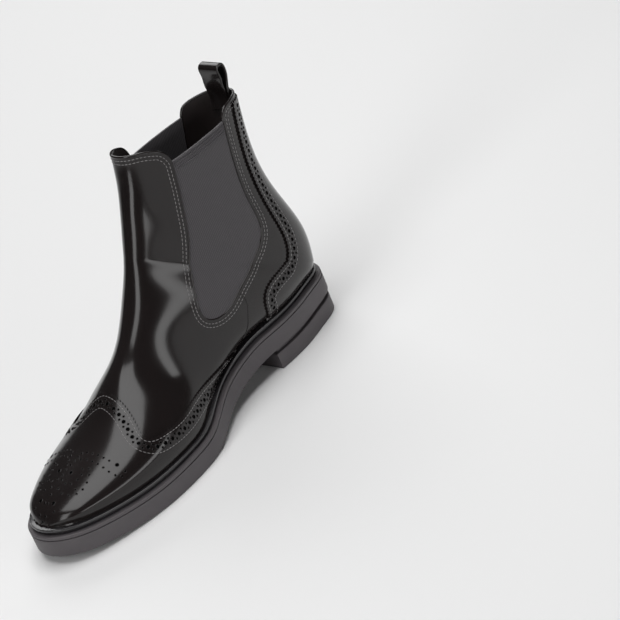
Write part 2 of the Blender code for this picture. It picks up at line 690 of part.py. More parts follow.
def build_pull_loop(lift):
    """Leather strip folded into a loop, its two tails inside the back of the collar."""
    collar = side_points([COLLAR_LINE[-2]])[0]
    around = np.linspace(1.3, 2, 60)
    back = last_points(around, np.ones(60), 1)
    foot = np.array([np.interp(z, back[:, 2], back[:, 0]) for z in (collar[1] - LOOP_TAIL, collar[1])])
    inside = lift + WALL + LOOP_GAP + LOOP_STRAP / 2
    rear = [(foot[0] + inside, collar[1] - LOOP_TAIL), (foot[1] + inside, collar[1])]
    step = LOOP_STRAP + 1.5 * CLEARANCE
    crown = [
        (foot[1] + inside - 0.0008, collar[1] + 0.20 * LOOP_RISE),
        (foot[1] + inside - 0.0030, collar[1] + 0.62 * LOOP_RISE),
        (foot[1] + inside - 0.0014, collar[1] + 0.86 * LOOP_RISE),
        (foot[1] + inside + 0.0026, collar[1] + 0.84 * LOOP_RISE),
        (foot[1] + inside + 0.0034, collar[1] + 0.60 * LOOP_RISE),
        (foot[1] + inside + 0.0022 + step * 0.4, collar[1] + 0.20 * LOOP_RISE),
    ]
    front = [(x + step, z) for x, z in rear[::-1]]
    line = smooth_line([*rear, *crown, *front], 22)
    tangent = np.gradient(line, axis=0)
    tangent /= np.linalg.norm(tangent, axis=1)[:, None]
    normal = np.stack([-tangent[:, 1], tangent[:, 0]], 1)
    bow = 0.0022 * np.clip(1 - (line[:, 1] - collar[1]) / (0.5 * LOOP_RISE), 0, 1)
    bm = bmesh.new()
    sheets = []
    for offset in (LOOP_STRAP / 2, -LOOP_STRAP / 2):
        sheet = []
        for share in np.linspace(-1, 1, 5):
            points = line + normal * offset
            sheet.append([bm.verts.new((x + b * share ** 2, share * LOOP_WIDTH / 2, z))
                          for (x, z), b in zip(points, bow)])
        sheets.append(sheet)
    for sheet in sheets:
        for first, second in zip(sheet, sheet[1:]):
            bridge(bm, first, second, closed=False)
    for k in (0, -1):
        bridge(bm, sheets[0][k], sheets[1][k], closed=False)
        bridge(bm, [row[k] for row in sheets[0]], [row[k] for row in sheets[1]], closed=False)
    return add_object("pull_loop", bm, *LEATHER)


def main():
    for thing in list(bpy.data.objects):
        bpy.data.objects.remove(thing)
    lift = (OVERLAY + CLEARANCE) / 2
    pieces = [
        build_outsole(),
        build_heel(),
        build_welt(),
        build_insole(lift),
        build_upper(lift),
        build_gore("gore_medial", 1, lift),
        build_gore("gore_lateral", -1, lift),
        build_toe_cap(lift),
        build_counter(lift),
        build_pull_loop(lift),
    ]
    boot = bpy.data.objects.new("boot", None)
    bpy.context.scene.collection.objects.link(boot)
    ring = edge(240)
    boot.location.y = -(ring[:, 1].max() + ring[:, 1].min()) / 2
    for piece in pieces:
        piece.parent = boot


main()
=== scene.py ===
import math
import bpy
import numpy as np
from mathutils import Matrix, Vector
from mathutils.bvhtree import BVHTree


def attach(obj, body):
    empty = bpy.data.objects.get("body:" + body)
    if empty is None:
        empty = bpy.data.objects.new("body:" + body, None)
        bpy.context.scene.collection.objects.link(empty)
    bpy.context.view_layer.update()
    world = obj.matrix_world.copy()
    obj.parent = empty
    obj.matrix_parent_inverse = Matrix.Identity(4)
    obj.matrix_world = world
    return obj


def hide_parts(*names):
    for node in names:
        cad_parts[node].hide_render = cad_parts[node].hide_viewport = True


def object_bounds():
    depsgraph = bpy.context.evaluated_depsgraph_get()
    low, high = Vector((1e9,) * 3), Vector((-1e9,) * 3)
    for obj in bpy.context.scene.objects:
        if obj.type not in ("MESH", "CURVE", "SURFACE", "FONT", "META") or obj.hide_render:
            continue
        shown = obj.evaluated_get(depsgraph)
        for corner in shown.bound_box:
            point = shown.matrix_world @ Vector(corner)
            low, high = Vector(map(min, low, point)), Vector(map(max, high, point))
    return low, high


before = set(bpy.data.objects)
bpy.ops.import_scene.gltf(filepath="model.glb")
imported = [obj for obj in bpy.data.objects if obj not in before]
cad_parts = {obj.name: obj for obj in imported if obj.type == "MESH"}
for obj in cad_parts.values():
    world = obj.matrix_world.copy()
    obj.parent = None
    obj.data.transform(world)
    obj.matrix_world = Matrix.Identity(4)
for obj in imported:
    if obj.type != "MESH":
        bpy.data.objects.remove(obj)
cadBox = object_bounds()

mm = 0.001

# driving sizes of the boot, in metres, the same as the CAD model's
boot = {
    "soleLength": 0.285, "ballWidth": 0.0987, "heelLength": 0.077, "heelHeight": 0.0149,
    "toeSpring": 0.0068, "treadStart": 0.61, "springStart": 0.70, "toeTurn": 0.035,
    "bandHeight": 0.0151, "weltHeight": 0.0040, "weltLedge": 0.0052, "clearance": 0.0003,
    "instepRise": 0.086, "legRise": 0.0686, "backRise": 0.1377,
    "upperSkin": -0.00065, "wall": 0.0018, "overlaySkin": 0.00065, "overlay": 0.0012,
}

# sole outline: share of the length from the heel, half widths as shares of the ball, welt ledge
outlineRows = [
    (0.02, 0.179, 0.137, 0.80), (0.07, 0.255, 0.247, 0.80), (0.15, 0.300, 0.333, 0.85),
    (0.25, 0.305, 0.360, 1.00), (0.35, 0.276, 0.365, 1.20), (0.45, 0.317, 0.418, 1.25),
    (0.55, 0.442, 0.490, 1.10), (0.65, 0.488, 0.512, 1.00), (0.74, 0.481, 0.484, 1.00),
    (0.82, 0.437, 0.419, 1.05), (0.90, 0.359, 0.311, 1.15), (0.96, 0.263, 0.197, 1.30),
]

# sections of the last from the toe to the collar: front, instep, leg, seat, back, medial, lateral,
# widest, crown inside, crown outside, wall, crest
lastRows = [
    (1.000, 0.000, 0.000, 1.000, 0.000, 0.035, 0.035, 0.60, 2.00, 2.00, 2.40, 0.000),
    (0.990, 0.070, 0.000, 0.987, 0.000, 0.081, 0.071, 0.60, 2.00, 1.90, 2.40, 0.000),
    (0.972, 0.122, 0.000, 0.959, 0.000, 0.132, 0.111, 0.62, 2.00, 1.80, 2.40, 0.000),
    (0.937, 0.176, 0.000, 0.919, 0.000, 0.182, 0.147, 0.66, 2.00, 1.70, 2.30, 0.000),
    (0.891, 0.229, 0.000, 0.864, 0.000, 0.223, 0.182, 0.70, 2.00, 1.60, 2.30, 0.000),
    (0.826, 0.299, 0.000, 0.784, 0.000, 0.253, 0.218, 0.72, 2.00, 1.45, 2.30, 0.000),
    (0.753, 0.390, 0.000, 0.678, 0.000, 0.263, 0.258, 0.74, 2.00, 1.40, 2.30, 0.005),
    (0.681, 0.522, 0.000, 0.550, 0.000, 0.263, 0.279, 0.74, 2.00, 1.55, 2.30, 0.005),
    (0.612, 0.668, 0.000, 0.403, 0.000, 0.274, 0.289, 0.72, 2.00, 1.65, 2.30, 0.010),
    (0.553, 0.829, 0.000, 0.257, 0.000, 0.284, 0.299, 0.70, 2.10, 1.80, 2.40, 0.010),
    (0.502, 1.000, 0.000, 0.111, 0.000, 0.289, 0.304, 0.68, 2.10, 2.00, 2.50, 0.000),
    (0.470, 1.000, 0.208, 0.000, 0.000, 0.291, 0.306, 0.66, 2.10, 2.10, 2.70, 0.000),
    (0.445, 1.000, 0.394, -0.012, 0.184, 0.287, 0.300, 0.62, 2.10, 2.10, 2.70, 0.000),
    (0.423, 1.000, 0.567, 0.010, 0.402, 0.261, 0.274, 0.58, 2.10, 2.10, 2.60, 0.000),
    (0.404, 1.000, 0.727, 0.025, 0.598, 0.242, 0.243, 0.54, 2.20, 2.20, 2.50, 0.000),
    (0.393, 1.000, 0.849, 0.019, 0.780, 0.228, 0.228, 0.52, 2.30, 2.30, 2.50, 0.000),
    (0.384, 1.000, 0.987, -0.002, 0.998, 0.220, 0.218, 0.50, 2.40, 2.40, 2.50, 0.000),
    (0.382, 1.000, 1.060, -0.008, 1.060, 0.218, 0.216, 0.50, 2.40, 2.40, 2.50, 0.000),
]
backRow, frontRow = lastRows[-2][3], lastRows[-2][0]

# side view: share of the sole's length, share of the shaft's height
goreRows = [
    (0.297, 0.908), (0.317, 0.745), (0.362, 0.507), (0.407, 0.336), (0.414, 0.241), (0.380, 0.202),
    (0.301, 0.233), (0.204, 0.306), (0.163, 0.379), (0.153, 0.539), (0.138, 0.740), (0.116, 0.926),
]
collarRows = [
    (0.470, 1.015), (0.370, 1.006), (0.354, 1.004), (0.335, 0.993), (0.314, 0.975), (0.305, 0.955),
    (0.299, 0.927), (0.297, 0.908), (0.116, 0.926), (0.110, 0.951), (0.102, 0.969), (0.085, 0.977),
    (0.048, 0.983), (-0.05, 0.985),
]

# edges on the last: wing is (down, around), counter is (around, down)
wingRows = [
    (0.00, 0.485), (0.12, 0.425), (0.26, 0.375), (0.36, 0.370), (0.46, 0.400), (0.60, 0.470),
    (0.76, 0.560), (1.00, 0.680),
]
counterRows = [
    (0.780, 1.00), (0.840, 0.80), (1.000, 0.74), (1.250, 0.76), (1.500, 0.80), (1.900, 0.87),
]


def splineThrough(knots, values, at):
    knots = np.asarray(knots, float)
    values = np.asarray(values, float).reshape(len(knots), -1)
    at = np.asarray(at, float)
    steps = np.diff(knots)
    system = np.eye(len(knots))
    bends = np.zeros_like(values)
    for i in range(1, len(knots) - 1):
        system[i, i - 1:i + 2] = steps[i - 1], 2 * (steps[i - 1] + steps[i]), steps[i]
        bends[i] = 6 * ((values[i + 1] - values[i]) / steps[i] - (values[i] - values[i - 1]) / steps[i - 1])
    curve = np.linalg.solve(system, bends)
    k = np.clip(np.searchsorted(knots, at) - 1, 0, len(knots) - 2)
    t = (at - knots[k])[:, None]
    h = steps[k][:, None]
    slope = (values[k + 1] - values[k]) / h - h * (2 * curve[k] + curve[k + 1]) / 6
    return values[k] + t * slope + t ** 2 * curve[k] / 2 + t ** 3 * (curve[k + 1] - curve[k]) / (6 * h)


def runningLength(points):
    return np.append(0, np.cumsum(np.linalg.norm(np.diff(points, axis=0), axis=1)))


def smoothLine(points, count):
    points = np.asarray(points, float)
    place = runningLength(points)
    return splineThrough(place, points, np.linspace(0, place[-1], count))


def evenLine(points, spacing):
    points = np.asarray(points, float)
    place = runningLength(points)
    count = max(2, int(round(place[-1] / spacing)) + 1)
    at = np.linspace(0, place[-1], count)
    return np.stack([np.interp(at, place, points[:, k]) for k in range(points.shape[1])], 1)


def softened(points, rounds):
    points = np.array(points, float)
    for _ in range(rounds):
        points[1:-1] = (points[:-2] + 2 * points[1:-1] + points[2:]) / 4
    return points


def unit(vectors):
    return vectors / np.maximum(np.linalg.norm(vectors, axis=-1, keepdims=True), 1e-12)


def outward(grid):  # the way out of a grid of points, from its neighbours
    return unit(np.cross(np.gradient(grid, axis=1), np.gradient(grid, axis=0)))


def soleX(along):
    return (np.asarray(along, float) - 0.5) * boot["soleLength"]


def centreY(x):
    along = np.asarray(x) / boot["soleLength"] + 0.5
    return boot["toeTurn"] * boot["ballWidth"] * np.clip(2 * along - 1, 0, 1) ** 3


def soleEdge(count, inset=0.0, ledges=0.0):  # ring round the sole, heel first, medial side first
    along = (1 - np.cos(np.linspace(0, np.pi, count + 1))) / 2
    rows = np.array(outlineRows)
    end = np.sqrt(rows[:, 0] * (1 - rows[:, 0]))
    centre = centreY(soleX(rows[:, 0])) / boot["ballWidth"]
    widths = np.stack([(rows[:, 1] - centre) / end, (rows[:, 2] + centre) / end, rows[:, 3]], 1)
    medial, lateral, ledge = splineThrough(rows[:, 0], widths, along).T
    x = soleX(along)
    shape = np.sqrt(along * (1 - along)) * boot["ballWidth"]
    medial = centreY(x) + medial * shape
    lateral = centreY(x) - lateral * shape
    ring = np.stack([np.append(x, x[-2:0:-1]), np.append(medial, lateral[-2:0:-1])], 1)
    move = inset + ledges * boot["weltLedge"] * np.append(ledge, ledge[-2:0:-1])
    tangent = unit(np.roll(ring, -1, 0) - np.roll(ring, 1, 0))
    inward = np.stack([tangent[:, 1], -tangent[:, 0]], 1)
    return ring + inward * move[:, None]


wholeEdge = soleEdge(240)
sideShift = -(wholeEdge[:, 1].max() + wholeEdge[:, 1].min()) / 2  # the CAD model is centred across


def soleBottom(x):
    along = np.asarray(x) / boot["soleLength"] + 0.5
    breast = boot["heelLength"] / boot["soleLength"]
    t = np.clip((boot["treadStart"] - along) / (boot["treadStart"] - breast), 0, 1)
    soft = 0.2
    low = t ** 2 / (2 * soft * (1 - soft))
    middle = (t - soft / 2) / (1 - soft)
    high = 1 - (1 - t) ** 2 / (2 * soft * (1 - soft))
    fall = np.where(t < soft, low, np.where(t > 1 - soft, high, middle))
    spring = np.clip((along - boot["springStart"]) / (1 - boot["springStart"]), 0, None) ** 2
    return boot["heelHeight"] * fall + boot["toeSpring"] * spring


def lastSeat(x):
    return soleBottom(x) + boot["bandHeight"] + boot["weltHeight"] + 2 * boot["clearance"]


def lastPoints(around, down, side):  # around 0 toe, 1 heel seat, 2 collar; down 0 top line, 1 foot
    ring = soleEdge(240, ledges=1)
    half = len(ring) // 2
    heelX, toeX = ring[0, 0], ring[half, 0]
    rows = np.array(lastRows)
    top = np.stack([rows[:, 0], rows[:, 1] * boot["instepRise"] + rows[:, 2] * boot["legRise"]], 1)
    top[:, 0] = heelX + (toeX - heelX) * top[:, 0]
    top[:, 1] += lastSeat(top[:, 0])
    foot = np.stack([heelX + (toeX - heelX) * rows[:, 3], rows[:, 4] * boot["backRise"]], 1)
    foot[:, 1] += np.where(rows[:, 4] > 0, lastSeat(heelX), lastSeat(foot[:, 0]))
    stride = np.linalg.norm(np.diff(top, axis=0), axis=1) + np.linalg.norm(np.diff(foot, axis=0), axis=1) / 2
    place = np.append(0, np.cumsum(stride))
    corner = int(np.argmax(rows[:, 4] > 0)) - 1
    shape = np.shape(around)
    around, down = np.ravel(around), np.ravel(down)
    onSeat = around <= 1
    at = np.where(onSeat, around * place[corner], place[corner] + (around - 1) * (place[-1] - place[corner]))
    topLine = splineThrough(place, top, at)
    footLine = np.empty_like(topLine)
    footLine[onSeat, :1] = splineThrough(place[:corner + 1], foot[:corner + 1, 0], at[onSeat])
    footLine[onSeat, 1] = lastSeat(footLine[onSeat, 0])
    footLine[~onSeat] = splineThrough(place[corner:], foot[corner:], at[~onSeat])
    medial, lateral, widest, crownIn, crownOut, wall, crest = splineThrough(place, rows[:, 5:], at).T
    width, crown = (medial, crownIn) if side > 0 else (lateral, crownOut)
    feather = ring[:half + 1] if side > 0 else np.vstack([ring[:1], ring[:half - 1:-1]])
    reach = side * (np.interp(footLine[:, 0], feather[:, 0], feather[:, 1]) - centreY(footLine[:, 0]))
    reach = np.where((around > 0) & (around < 1), np.clip(reach, 0, None), 0)
    full = ((width * boot["ballWidth"]) ** 4 + reach ** 4) ** 0.25 * (around > 0)
    crest = side * crest * boot["ballWidth"]
    squeeze = (1 - np.clip(reach / np.maximum(full, 1e-9), 0, 1) ** wall) ** (1 / wall)
    rise = np.clip((widest - down) / widest, 0, 1)
    fall = np.clip((down - widest) / (1 - widest), 0, 1)
    crowned = crest + (full - crest) * (1 - rise ** crown) ** (1 / crown)
    walled = full * (1 - np.clip(squeeze * fall, 0, 1) ** wall) ** (1 / wall)
    x = topLine[:, 0] * (1 - down) + footLine[:, 0] * down
    z = topLine[:, 1] * (1 - down) + footLine[:, 1] * down
    y = centreY(x) + side * np.where(down < widest, crowned, walled) + sideShift
    return np.stack([x, y, z], 1).reshape(shape + (3,))


def easeEnds(count, pull):
    t = np.linspace(0, 1, count + 1)
    return t - pull * np.sin(2 * np.pi * t) / (2 * np.pi)


def spreadEnds(count):
    t = np.linspace(-1, 1, count + 1)
    return (1 + np.sign(t) * (1 - (1 - np.abs(t)) ** 2)) / 2


def wholeGrid(around, down):  # down runs from -1, the lateral foot, over the top line to 1, the medial foot
    halves = [lastPoints(around, np.abs(down), side) for side in (-1, 1)]
    grid = np.where((down < 0)[..., None], *halves)
    normal = outward(grid)
    meet = np.linalg.norm(grid[:, 0] - grid[:, -1], axis=1) < 1e-6
    shared = unit(normal[:, 0] + normal[:, -1])
    normal[meet, 0] = shared[meet]
    normal[meet, -1] = shared[meet]
    return grid, normal


def skinAt(grid, normal, around, down, offset):  # the last's surface moved out, standing on the welt
    foot = (np.abs(down) > 0.9999) & (around <= 1)
    normal = normal.copy()
    normal[foot, 2] = 0
    normal[around == 0] = (1, 0, 0)
    points = grid + unit(normal) * offset
    floor = lastSeat(points[..., 0])
    points[..., 2] = np.where(foot, floor, np.maximum(points[..., 2], floor))
    return points


def sideSpot(row):  # side-view shares to x and z
    ring = soleEdge(240, ledges=1)
    heelX, toeX = ring[0, 0], ring[len(ring) // 2, 0]
    backX = heelX + (toeX - heelX) * backRow
    frontX = heelX + (toeX - heelX) * frontRow
    frontRise = lastSeat(frontX) + boot["instepRise"] + boot["legRise"] - lastSeat(heelX)
    row = np.array(row, float)
    x = soleX(row[..., 0])
    rise = boot["backRise"] + (frontRise - boot["backRise"]) * (x - backX) / (frontX - backX)
    return np.stack([x, lastSeat(heelX) + row[..., 1] * rise], -1)


# a fine copy of the last, which finds where seams, stitches and holes lie
treeAround, treeDown = np.meshgrid(
    np.append(easeEnds(170, 0.8), np.linspace(1, 2, 71)[1:]),
    np.append(-spreadEnds(60)[::-1], spreadEnds(60)[1:]), indexing="ij")
treeGrid, treeNormal = wholeGrid(treeAround, treeDown)
treeCount = treeGrid.shape
treeIndex = np.arange(treeCount[0] * treeCount[1]).reshape(treeCount[:2])
treeFaces = np.stack(
    [treeIndex[:-1, :-1], treeIndex[:-1, 1:], treeIndex[1:, 1:], treeIndex[1:, :-1]], -1).reshape(-1, 4)
lastTree = BVHTree.FromPolygons(treeGrid.reshape(-1, 3).tolist(), treeFaces.tolist())
treeNormals = treeNormal.reshape(-1, 3)
print("last ready", treeCount[0] * treeCount[1], "points")


def castSide(x, z, side):  # the place on the last that is seen from one side
    return lastTree.ray_cast(Vector((x, side * 0.2, z)), Vector((0, -side, 0)))[0]


def layOn(points, height):  # nearest places on the last at a height over it, and the way out there
    places, normals = [], []
    for point in points:
        spot, _, face, _ = lastTree.find_nearest(Vector(point))
        corners = treeFaces[face]
        weights = 1 / (np.linalg.norm(treeGrid.reshape(-1, 3)[corners] - np.array(spot), axis=1) + 1e-5)
        normal = unit((treeNormals[corners] * weights[:, None]).sum(0))
        places.append(np.array(spot) + normal * height)
        normals.append(normal)
    return np.array(places), np.array(normals)


def moveAcross(points, distance, turn):  # a line moved sideways over the last; turn picks the side
    steps = max(1, int(math.ceil(abs(distance) / 0.0025)))
    for _ in range(steps):
        points, normals = layOn(points, 0)
        tangents = unit(np.gradient(points, axis=0))
        points = points + unit(np.cross(tangents, normals)) * turn * distance / steps
        points = softened(points, 1)
    return layOn(points, 0)[0]


def deselectAll():
    if bpy.context.mode != "OBJECT":
        bpy.ops.object.mode_set(mode="OBJECT")
    bpy.ops.object.select_all(action="DESELECT")


def activate(piece):
    deselectAll()
    piece.select_set(True)
    bpy.context.view_layer.objects.active = piece


def addSheet(name, points):  # a grid primitive whose points are laid on a surface, rows by columns
    rows, columns = points.shape[:2]
    deselectAll()
    bpy.ops.mesh.primitive_grid_add(x_subdivisions=columns - 1, y_subdivisions=rows - 1, size=2)
    sheet = bpy.context.object
    sheet.name = name
    flat = np.empty(len(sheet.data.vertices) * 3)
    sheet.data.vertices.foreach_get("co", flat)
    flat = flat.reshape(-1, 3)
    column = np.rint((flat[:, 0] + 1) / 2 * (columns - 1)).astype(int)
    row = np.rint((flat[:, 1] + 1) / 2 * (rows - 1)).astype(int)
    sheet.data.vertices.foreach_set("co", points[row, column].ravel())
    sheet.data.update()
    return sheet


def joinPieces(name, pieces):
    deselectAll()
    for piece in pieces:
        piece.select_set(True)
    bpy.context.view_layer.objects.active = pieces[0]
    if len(pieces) > 1:
        bpy.ops.object.join()
    pieces[0].name = name
    return pieces[0]


def closeSeams(piece, gap=1e-5, recalculate=False):
    activate(piece)
    bpy.ops.object.mode_set(mode="EDIT")
    bpy.ops.mesh.select_all(action="SELECT")
    bpy.ops.mesh.remove_doubles(threshold=gap)
    bpy.ops.mesh.dissolve_degenerate(threshold=gap)
    if recalculate:
        bpy.ops.mesh.normals_make_consistent(inside=False)
    bpy.ops.object.mode_set(mode="OBJECT")


def thicken(piece, thickness, inner=0):
    step = piece.modifiers.new("wall", "SOLIDIFY")
    step.thickness = thickness
    step.offset = -1
    step.use_even_offset = False
    step.use_quality_normals = True
    step.material_offset = inner
    activate(piece)
    bpy.ops.object.modifier_apply(modifier=step.name)


def smooth(piece, degrees=40):
    activate(piece)
    bpy.ops.object.shade_smooth_by_angle(angle=math.radians(degrees))


def finish(piece, materials, slotName, *nodes):
    if list(piece.data.materials) != materials:
        piece.data.materials.clear()
        for material in materials:
            piece.data.materials.append(material)
    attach(piece, "root")
    if nodes:
        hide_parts(*nodes)
    return piece


def addSlab(name, outline, low, high):  # a plan shape pulled up between two heights over the sole's bottom
    deselectAll()
    bpy.ops.mesh.primitive_circle_add(vertices=len(outline), radius=1, fill_type="NGON")
    slab = bpy.context.object
    slab.name = name
    for vertex, (x, y) in zip(slab.data.vertices, outline):
        vertex.co = (x, y + sideShift, 0)
    bpy.ops.object.mode_set(mode="EDIT")
    bpy.ops.mesh.select_all(action="SELECT")
    bpy.ops.mesh.extrude_region_move(TRANSFORM_OT_translate={"value": (0, 0, 1)})
    bpy.ops.mesh.select_all(action="SELECT")
    bpy.ops.mesh.normals_make_consistent(inside=False)
    bpy.ops.object.mode_set(mode="OBJECT")
    for vertex in slab.data.vertices:
        vertex.co.z = float(soleBottom(vertex.co.x)) + (high if vertex.co.z > 0.5 else low)
    return slab


def sideCutter(name, outline):  # a side-view shape pulled through the boot from side to side
    deselectAll()
    bpy.ops.mesh.primitive_circle_add(vertices=len(outline), radius=1, fill_type="NGON")
    cutter = bpy.context.object
    cutter.name = name
    for vertex, (x, z) in zip(cutter.data.vertices, outline):
        vertex.co = (x, -0.1, z)
    bpy.ops.object.mode_set(mode="EDIT")
    bpy.ops.mesh.select_all(action="SELECT")
    bpy.ops.mesh.extrude_region_move(TRANSFORM_OT_translate={"value": (0, 0.2, 0)})
    bpy.ops.mesh.select_all(action="SELECT")
    bpy.ops.mesh.normals_make_consistent(inside=False)
    bpy.ops.object.mode_set(mode="OBJECT")
    return cutter


def cutWith(piece, cutter, operation):
    step = piece.modifiers.new("cut", "BOOLEAN")
    step.operation = operation
    step.solver = "EXACT"
    step.object = cutter
    activate(piece)
    bpy.ops.object.modifier_apply(modifier=step.name)
    bpy.data.objects.remove(cutter)


def addPiping(name, points, radius, closed=False, sides=3):  # a round bead along a line
    curve = bpy.data.curves.new(name, "CURVE")
    curve.dimensions = "3D"
    curve.bevel_depth = radius
    curve.bevel_resolution = sides
    curve.use_fill_caps = True
    line = curve.splines.new("POLY")
    line.points.add(len(points) - 1)
    line.points.foreach_set("co", np.column_stack([points, np.ones(len(points))]).ravel())
    line.use_cyclic_u = closed
    bead = bpy.data.objects.new(name, curve)
    bpy.context.scene.collection.objects.link(bead)
    activate(bead)
    bpy.ops.object.convert(target="MESH")
    bead = bpy.context.object
    bpy.ops.object.shade_smooth()
    return bead


def copyAlong(name, model, places, tangents, normals):  # copies of a small model, X along the tangent, Z out
    shape = np.array([vertex.co[:] for vertex in model.data.vertices])
    faces = [list(face.vertices) for face in model.data.polygons]
    slots = [face.material_index for face in model.data.polygons]
    across = unit(np.cross(normals, tangents))
    along = np.cross(across, normals)
    frames = np.stack([along, across, normals], 1)
    points = np.einsum("vk,nkj->nvj", shape, frames) + places[:, None, :]
    allFaces = [[k * len(shape) + v for v in face] for k in range(len(places)) for face in faces]
    mesh = bpy.data.meshes.new(name)
    mesh.from_pydata(points.reshape(-1, 3).tolist(), [], allFaces)
    for material in model.data.materials:
        mesh.materials.append(material)
    mesh.polygons.foreach_set("material_index", slots * len(places))
    copies = bpy.data.objects.new(name, mesh)
    bpy.context.scene.collection.objects.link(copies)
    mesh.shade_smooth()
    return copies


def addGroup(name, inputs, outputs):
    group = bpy.data.node_groups.new(name, "ShaderNodeTree")
    for label, value in inputs.items():
        socket = group.interface.new_socket(label, in_out="INPUT", socket_type="NodeSocketFloat")
        socket.default_value = value
    for label in outputs:
        group.interface.new_socket(label, in_out="OUTPUT", socket_type="NodeSocketFloat")
    return group, group.nodes.new("NodeGroupInput"), group.nodes.new("NodeGroupOutput")


def buildGrain():  # fine and broad unevenness, for leather and rubber
    group, given, result = addGroup(
        "surfaceGrain", {"Fine scale": 900, "Broad scale": 40, "Broad share": 0.3}, ["Height", "Mask"])
    nodes, links = group.nodes, group.links
    spot = nodes.new("ShaderNodeTexCoord")
    fine = nodes.new("ShaderNodeTexNoise")
    broad = nodes.new("ShaderNodeTexNoise")
    fine.inputs["Detail"].default_value = 4
    broad.inputs["Detail"].default_value = 2
    mix = nodes.new("ShaderNodeMix")
    for noise, scale in ((fine, "Fine scale"), (broad, "Broad scale")):
        links.new(spot.outputs["Object"], noise.inputs["Vector"])
        links.new(given.outputs[scale], noise.inputs["Scale"])
    links.new(given.outputs["Broad share"], mix.inputs["Factor"])
    links.new(fine.outputs["Fac"], mix.inputs["A"])
    links.new(broad.outputs["Fac"], mix.inputs["B"])
    links.new(mix.outputs["Result"], result.inputs["Height"])
    links.new(broad.outputs["Fac"], result.inputs["Mask"])
    return group


surfaceGrain = buildGrain()


def startMaterial(name):
    material = bpy.data.materials.new(name)
    material.use_nodes = True
    nodes = material.node_tree.nodes
    return material, nodes, material.node_tree.links, nodes["Principled BSDF"]


def paintRelief(material, mask, height, tones, strength, depth):  # colour from a mask, bump from a height
    nodes, links = material.node_tree.nodes, material.node_tree.links
    shader = nodes["Principled BSDF"]
    tone = nodes.new("ShaderNodeMix")
    tone.data_type = "RGBA"
    for label, colour in zip("AB", tones):
        tone.inputs[label].default_value = (*colour, 1)
    bump = nodes.new("ShaderNodeBump")
    bump.inputs["Strength"].default_value = strength
    bump.inputs["Distance"].default_value = depth
    links.new(mask, tone.inputs["Factor"])
    links.new(height, bump.inputs["Height"])
    links.new(tone.outputs["Result"], shader.inputs["Base Color"])
    links.new(bump.outputs["Normal"], shader.inputs["Normal"])


def buildFinish(name, row):  # a material with grain in its colour, roughness and bump
    fine, broad, share, dark, light, smoothest, roughest, strength, depth, coat, shine = row
    material, nodes, links, shader = startMaterial(name)
    grain = nodes.new("ShaderNodeGroup")
    grain.node_tree = surfaceGrain
    for label, value in (("Fine scale", fine), ("Broad scale", broad), ("Broad share", share)):
        grain.inputs[label].default_value = value
    rough = nodes.new("ShaderNodeMapRange")
    rough.inputs["To Min"].default_value = smoothest
    rough.inputs["To Max"].default_value = roughest
    links.new(grain.outputs["Mask"], rough.inputs["Value"])
    links.new(rough.outputs["Result"], shader.inputs["Roughness"])
    paintRelief(material, grain.outputs["Mask"], grain.outputs["Height"], (dark, light), strength, depth)
    shader.inputs["Coat Weight"].default_value = coat
    shader.inputs["Coat Roughness"].default_value = 0.06
    shader.inputs["Specular IOR Level"].default_value = shine
    return material


# grain's fine and broad scale and the broad one's share, dark and light tone, least and most roughness,
# bump's strength and depth, coat, shine
finishes = {
    "polishedLeather": (1400, 25, 0.5, (0.0095, 0.0078, 0.0078), (0.0135, 0.0105, 0.0103),
                        0.12, 0.22, 0.10, 0.0003, 0.1, 0.35),
    "liningLeather": (900, 60, 0.2, (0.012, 0.009, 0.009), (0.024, 0.017, 0.016),
                      0.45, 0.6, 0.3, 0.0003, 0.0, 0.5),
    "soleRubber": (2600, 90, 0.15, (0.062, 0.055, 0.060), (0.082, 0.074, 0.078),
                   0.5, 0.62, 0.5, 0.0002, 0.0, 0.5),
    "treadRubber": (1800, 70, 0.2, (0.038, 0.034, 0.036), (0.055, 0.049, 0.052),
                    0.5, 0.65, 0.5, 0.0002, 0.0, 0.5),
    "weltRubber": (1500, 60, 0.3, (0.010, 0.009, 0.010), (0.018, 0.016, 0.018),
                   0.2, 0.32, 0.2, 0.0002, 0.3, 0.5),
    # thread: the dark thread is given a mid-grey tone, and that lightness is painted sheen standing in for the
    # stitches' glints
    "thread": (4000, 800, 0.3, (0.12, 0.115, 0.115), (0.26, 0.25, 0.25),
               0.35, 0.5, 0.4, 0.0001, 0.2, 0.5),
    # hole disc: near-black and shineless, painted shade standing in for the depth of a punched hole
    "paintedHoleShade": (2000, 400, 0.3, (0.0015, 0.0015, 0.0015), (0.003, 0.003, 0.003),
                    0.8, 0.95, 0.2, 0.0001, 0.0, 0.0),
}
made = {name: buildFinish(name, row) for name, row in finishes.items()}


def buildElastic():  # woven elastic: upright ribs crossed by threads
    material, nodes, links, shader = startMaterial("wovenElastic")
    spot = nodes.new("ShaderNodeTexCoord")
    turn = nodes.new("ShaderNodeMapping")
    turn.inputs["Rotation"].default_value = (0, weave["lean"], 0)
    links.new(spot.outputs["Object"], turn.inputs["Vector"])
    both = nodes.new("ShaderNodeMath")
    for k, (axis, pitch, share) in enumerate((("X", weave["rib"], 0.6), ("Z", weave["thread"], 0.4))):
        wave = nodes.new("ShaderNodeTexWave")
        wave.bands_direction = axis
        wave.inputs["Scale"].default_value = math.pi / 10 / pitch
        wave.inputs["Distortion"].default_value = 0.6
        wave.inputs["Detail Scale"].default_value = 3
        links.new(turn.outputs["Vector"], wave.inputs["Vector"])
        part = nodes.new("ShaderNodeMath")
        part.operation = "MULTIPLY"
        part.inputs[1].default_value = share
        links.new(wave.outputs["Fac"], part.inputs[0])
        links.new(part.outputs[0], both.inputs[k])
    paintRelief(material, both.outputs[0], both.outputs[0], (weave["dark"], weave["light"]), 0.5, 0.0003)
    shader.inputs["Roughness"].default_value = 0.72
    shader.inputs["Sheen Weight"].default_value = 0.25
    return material


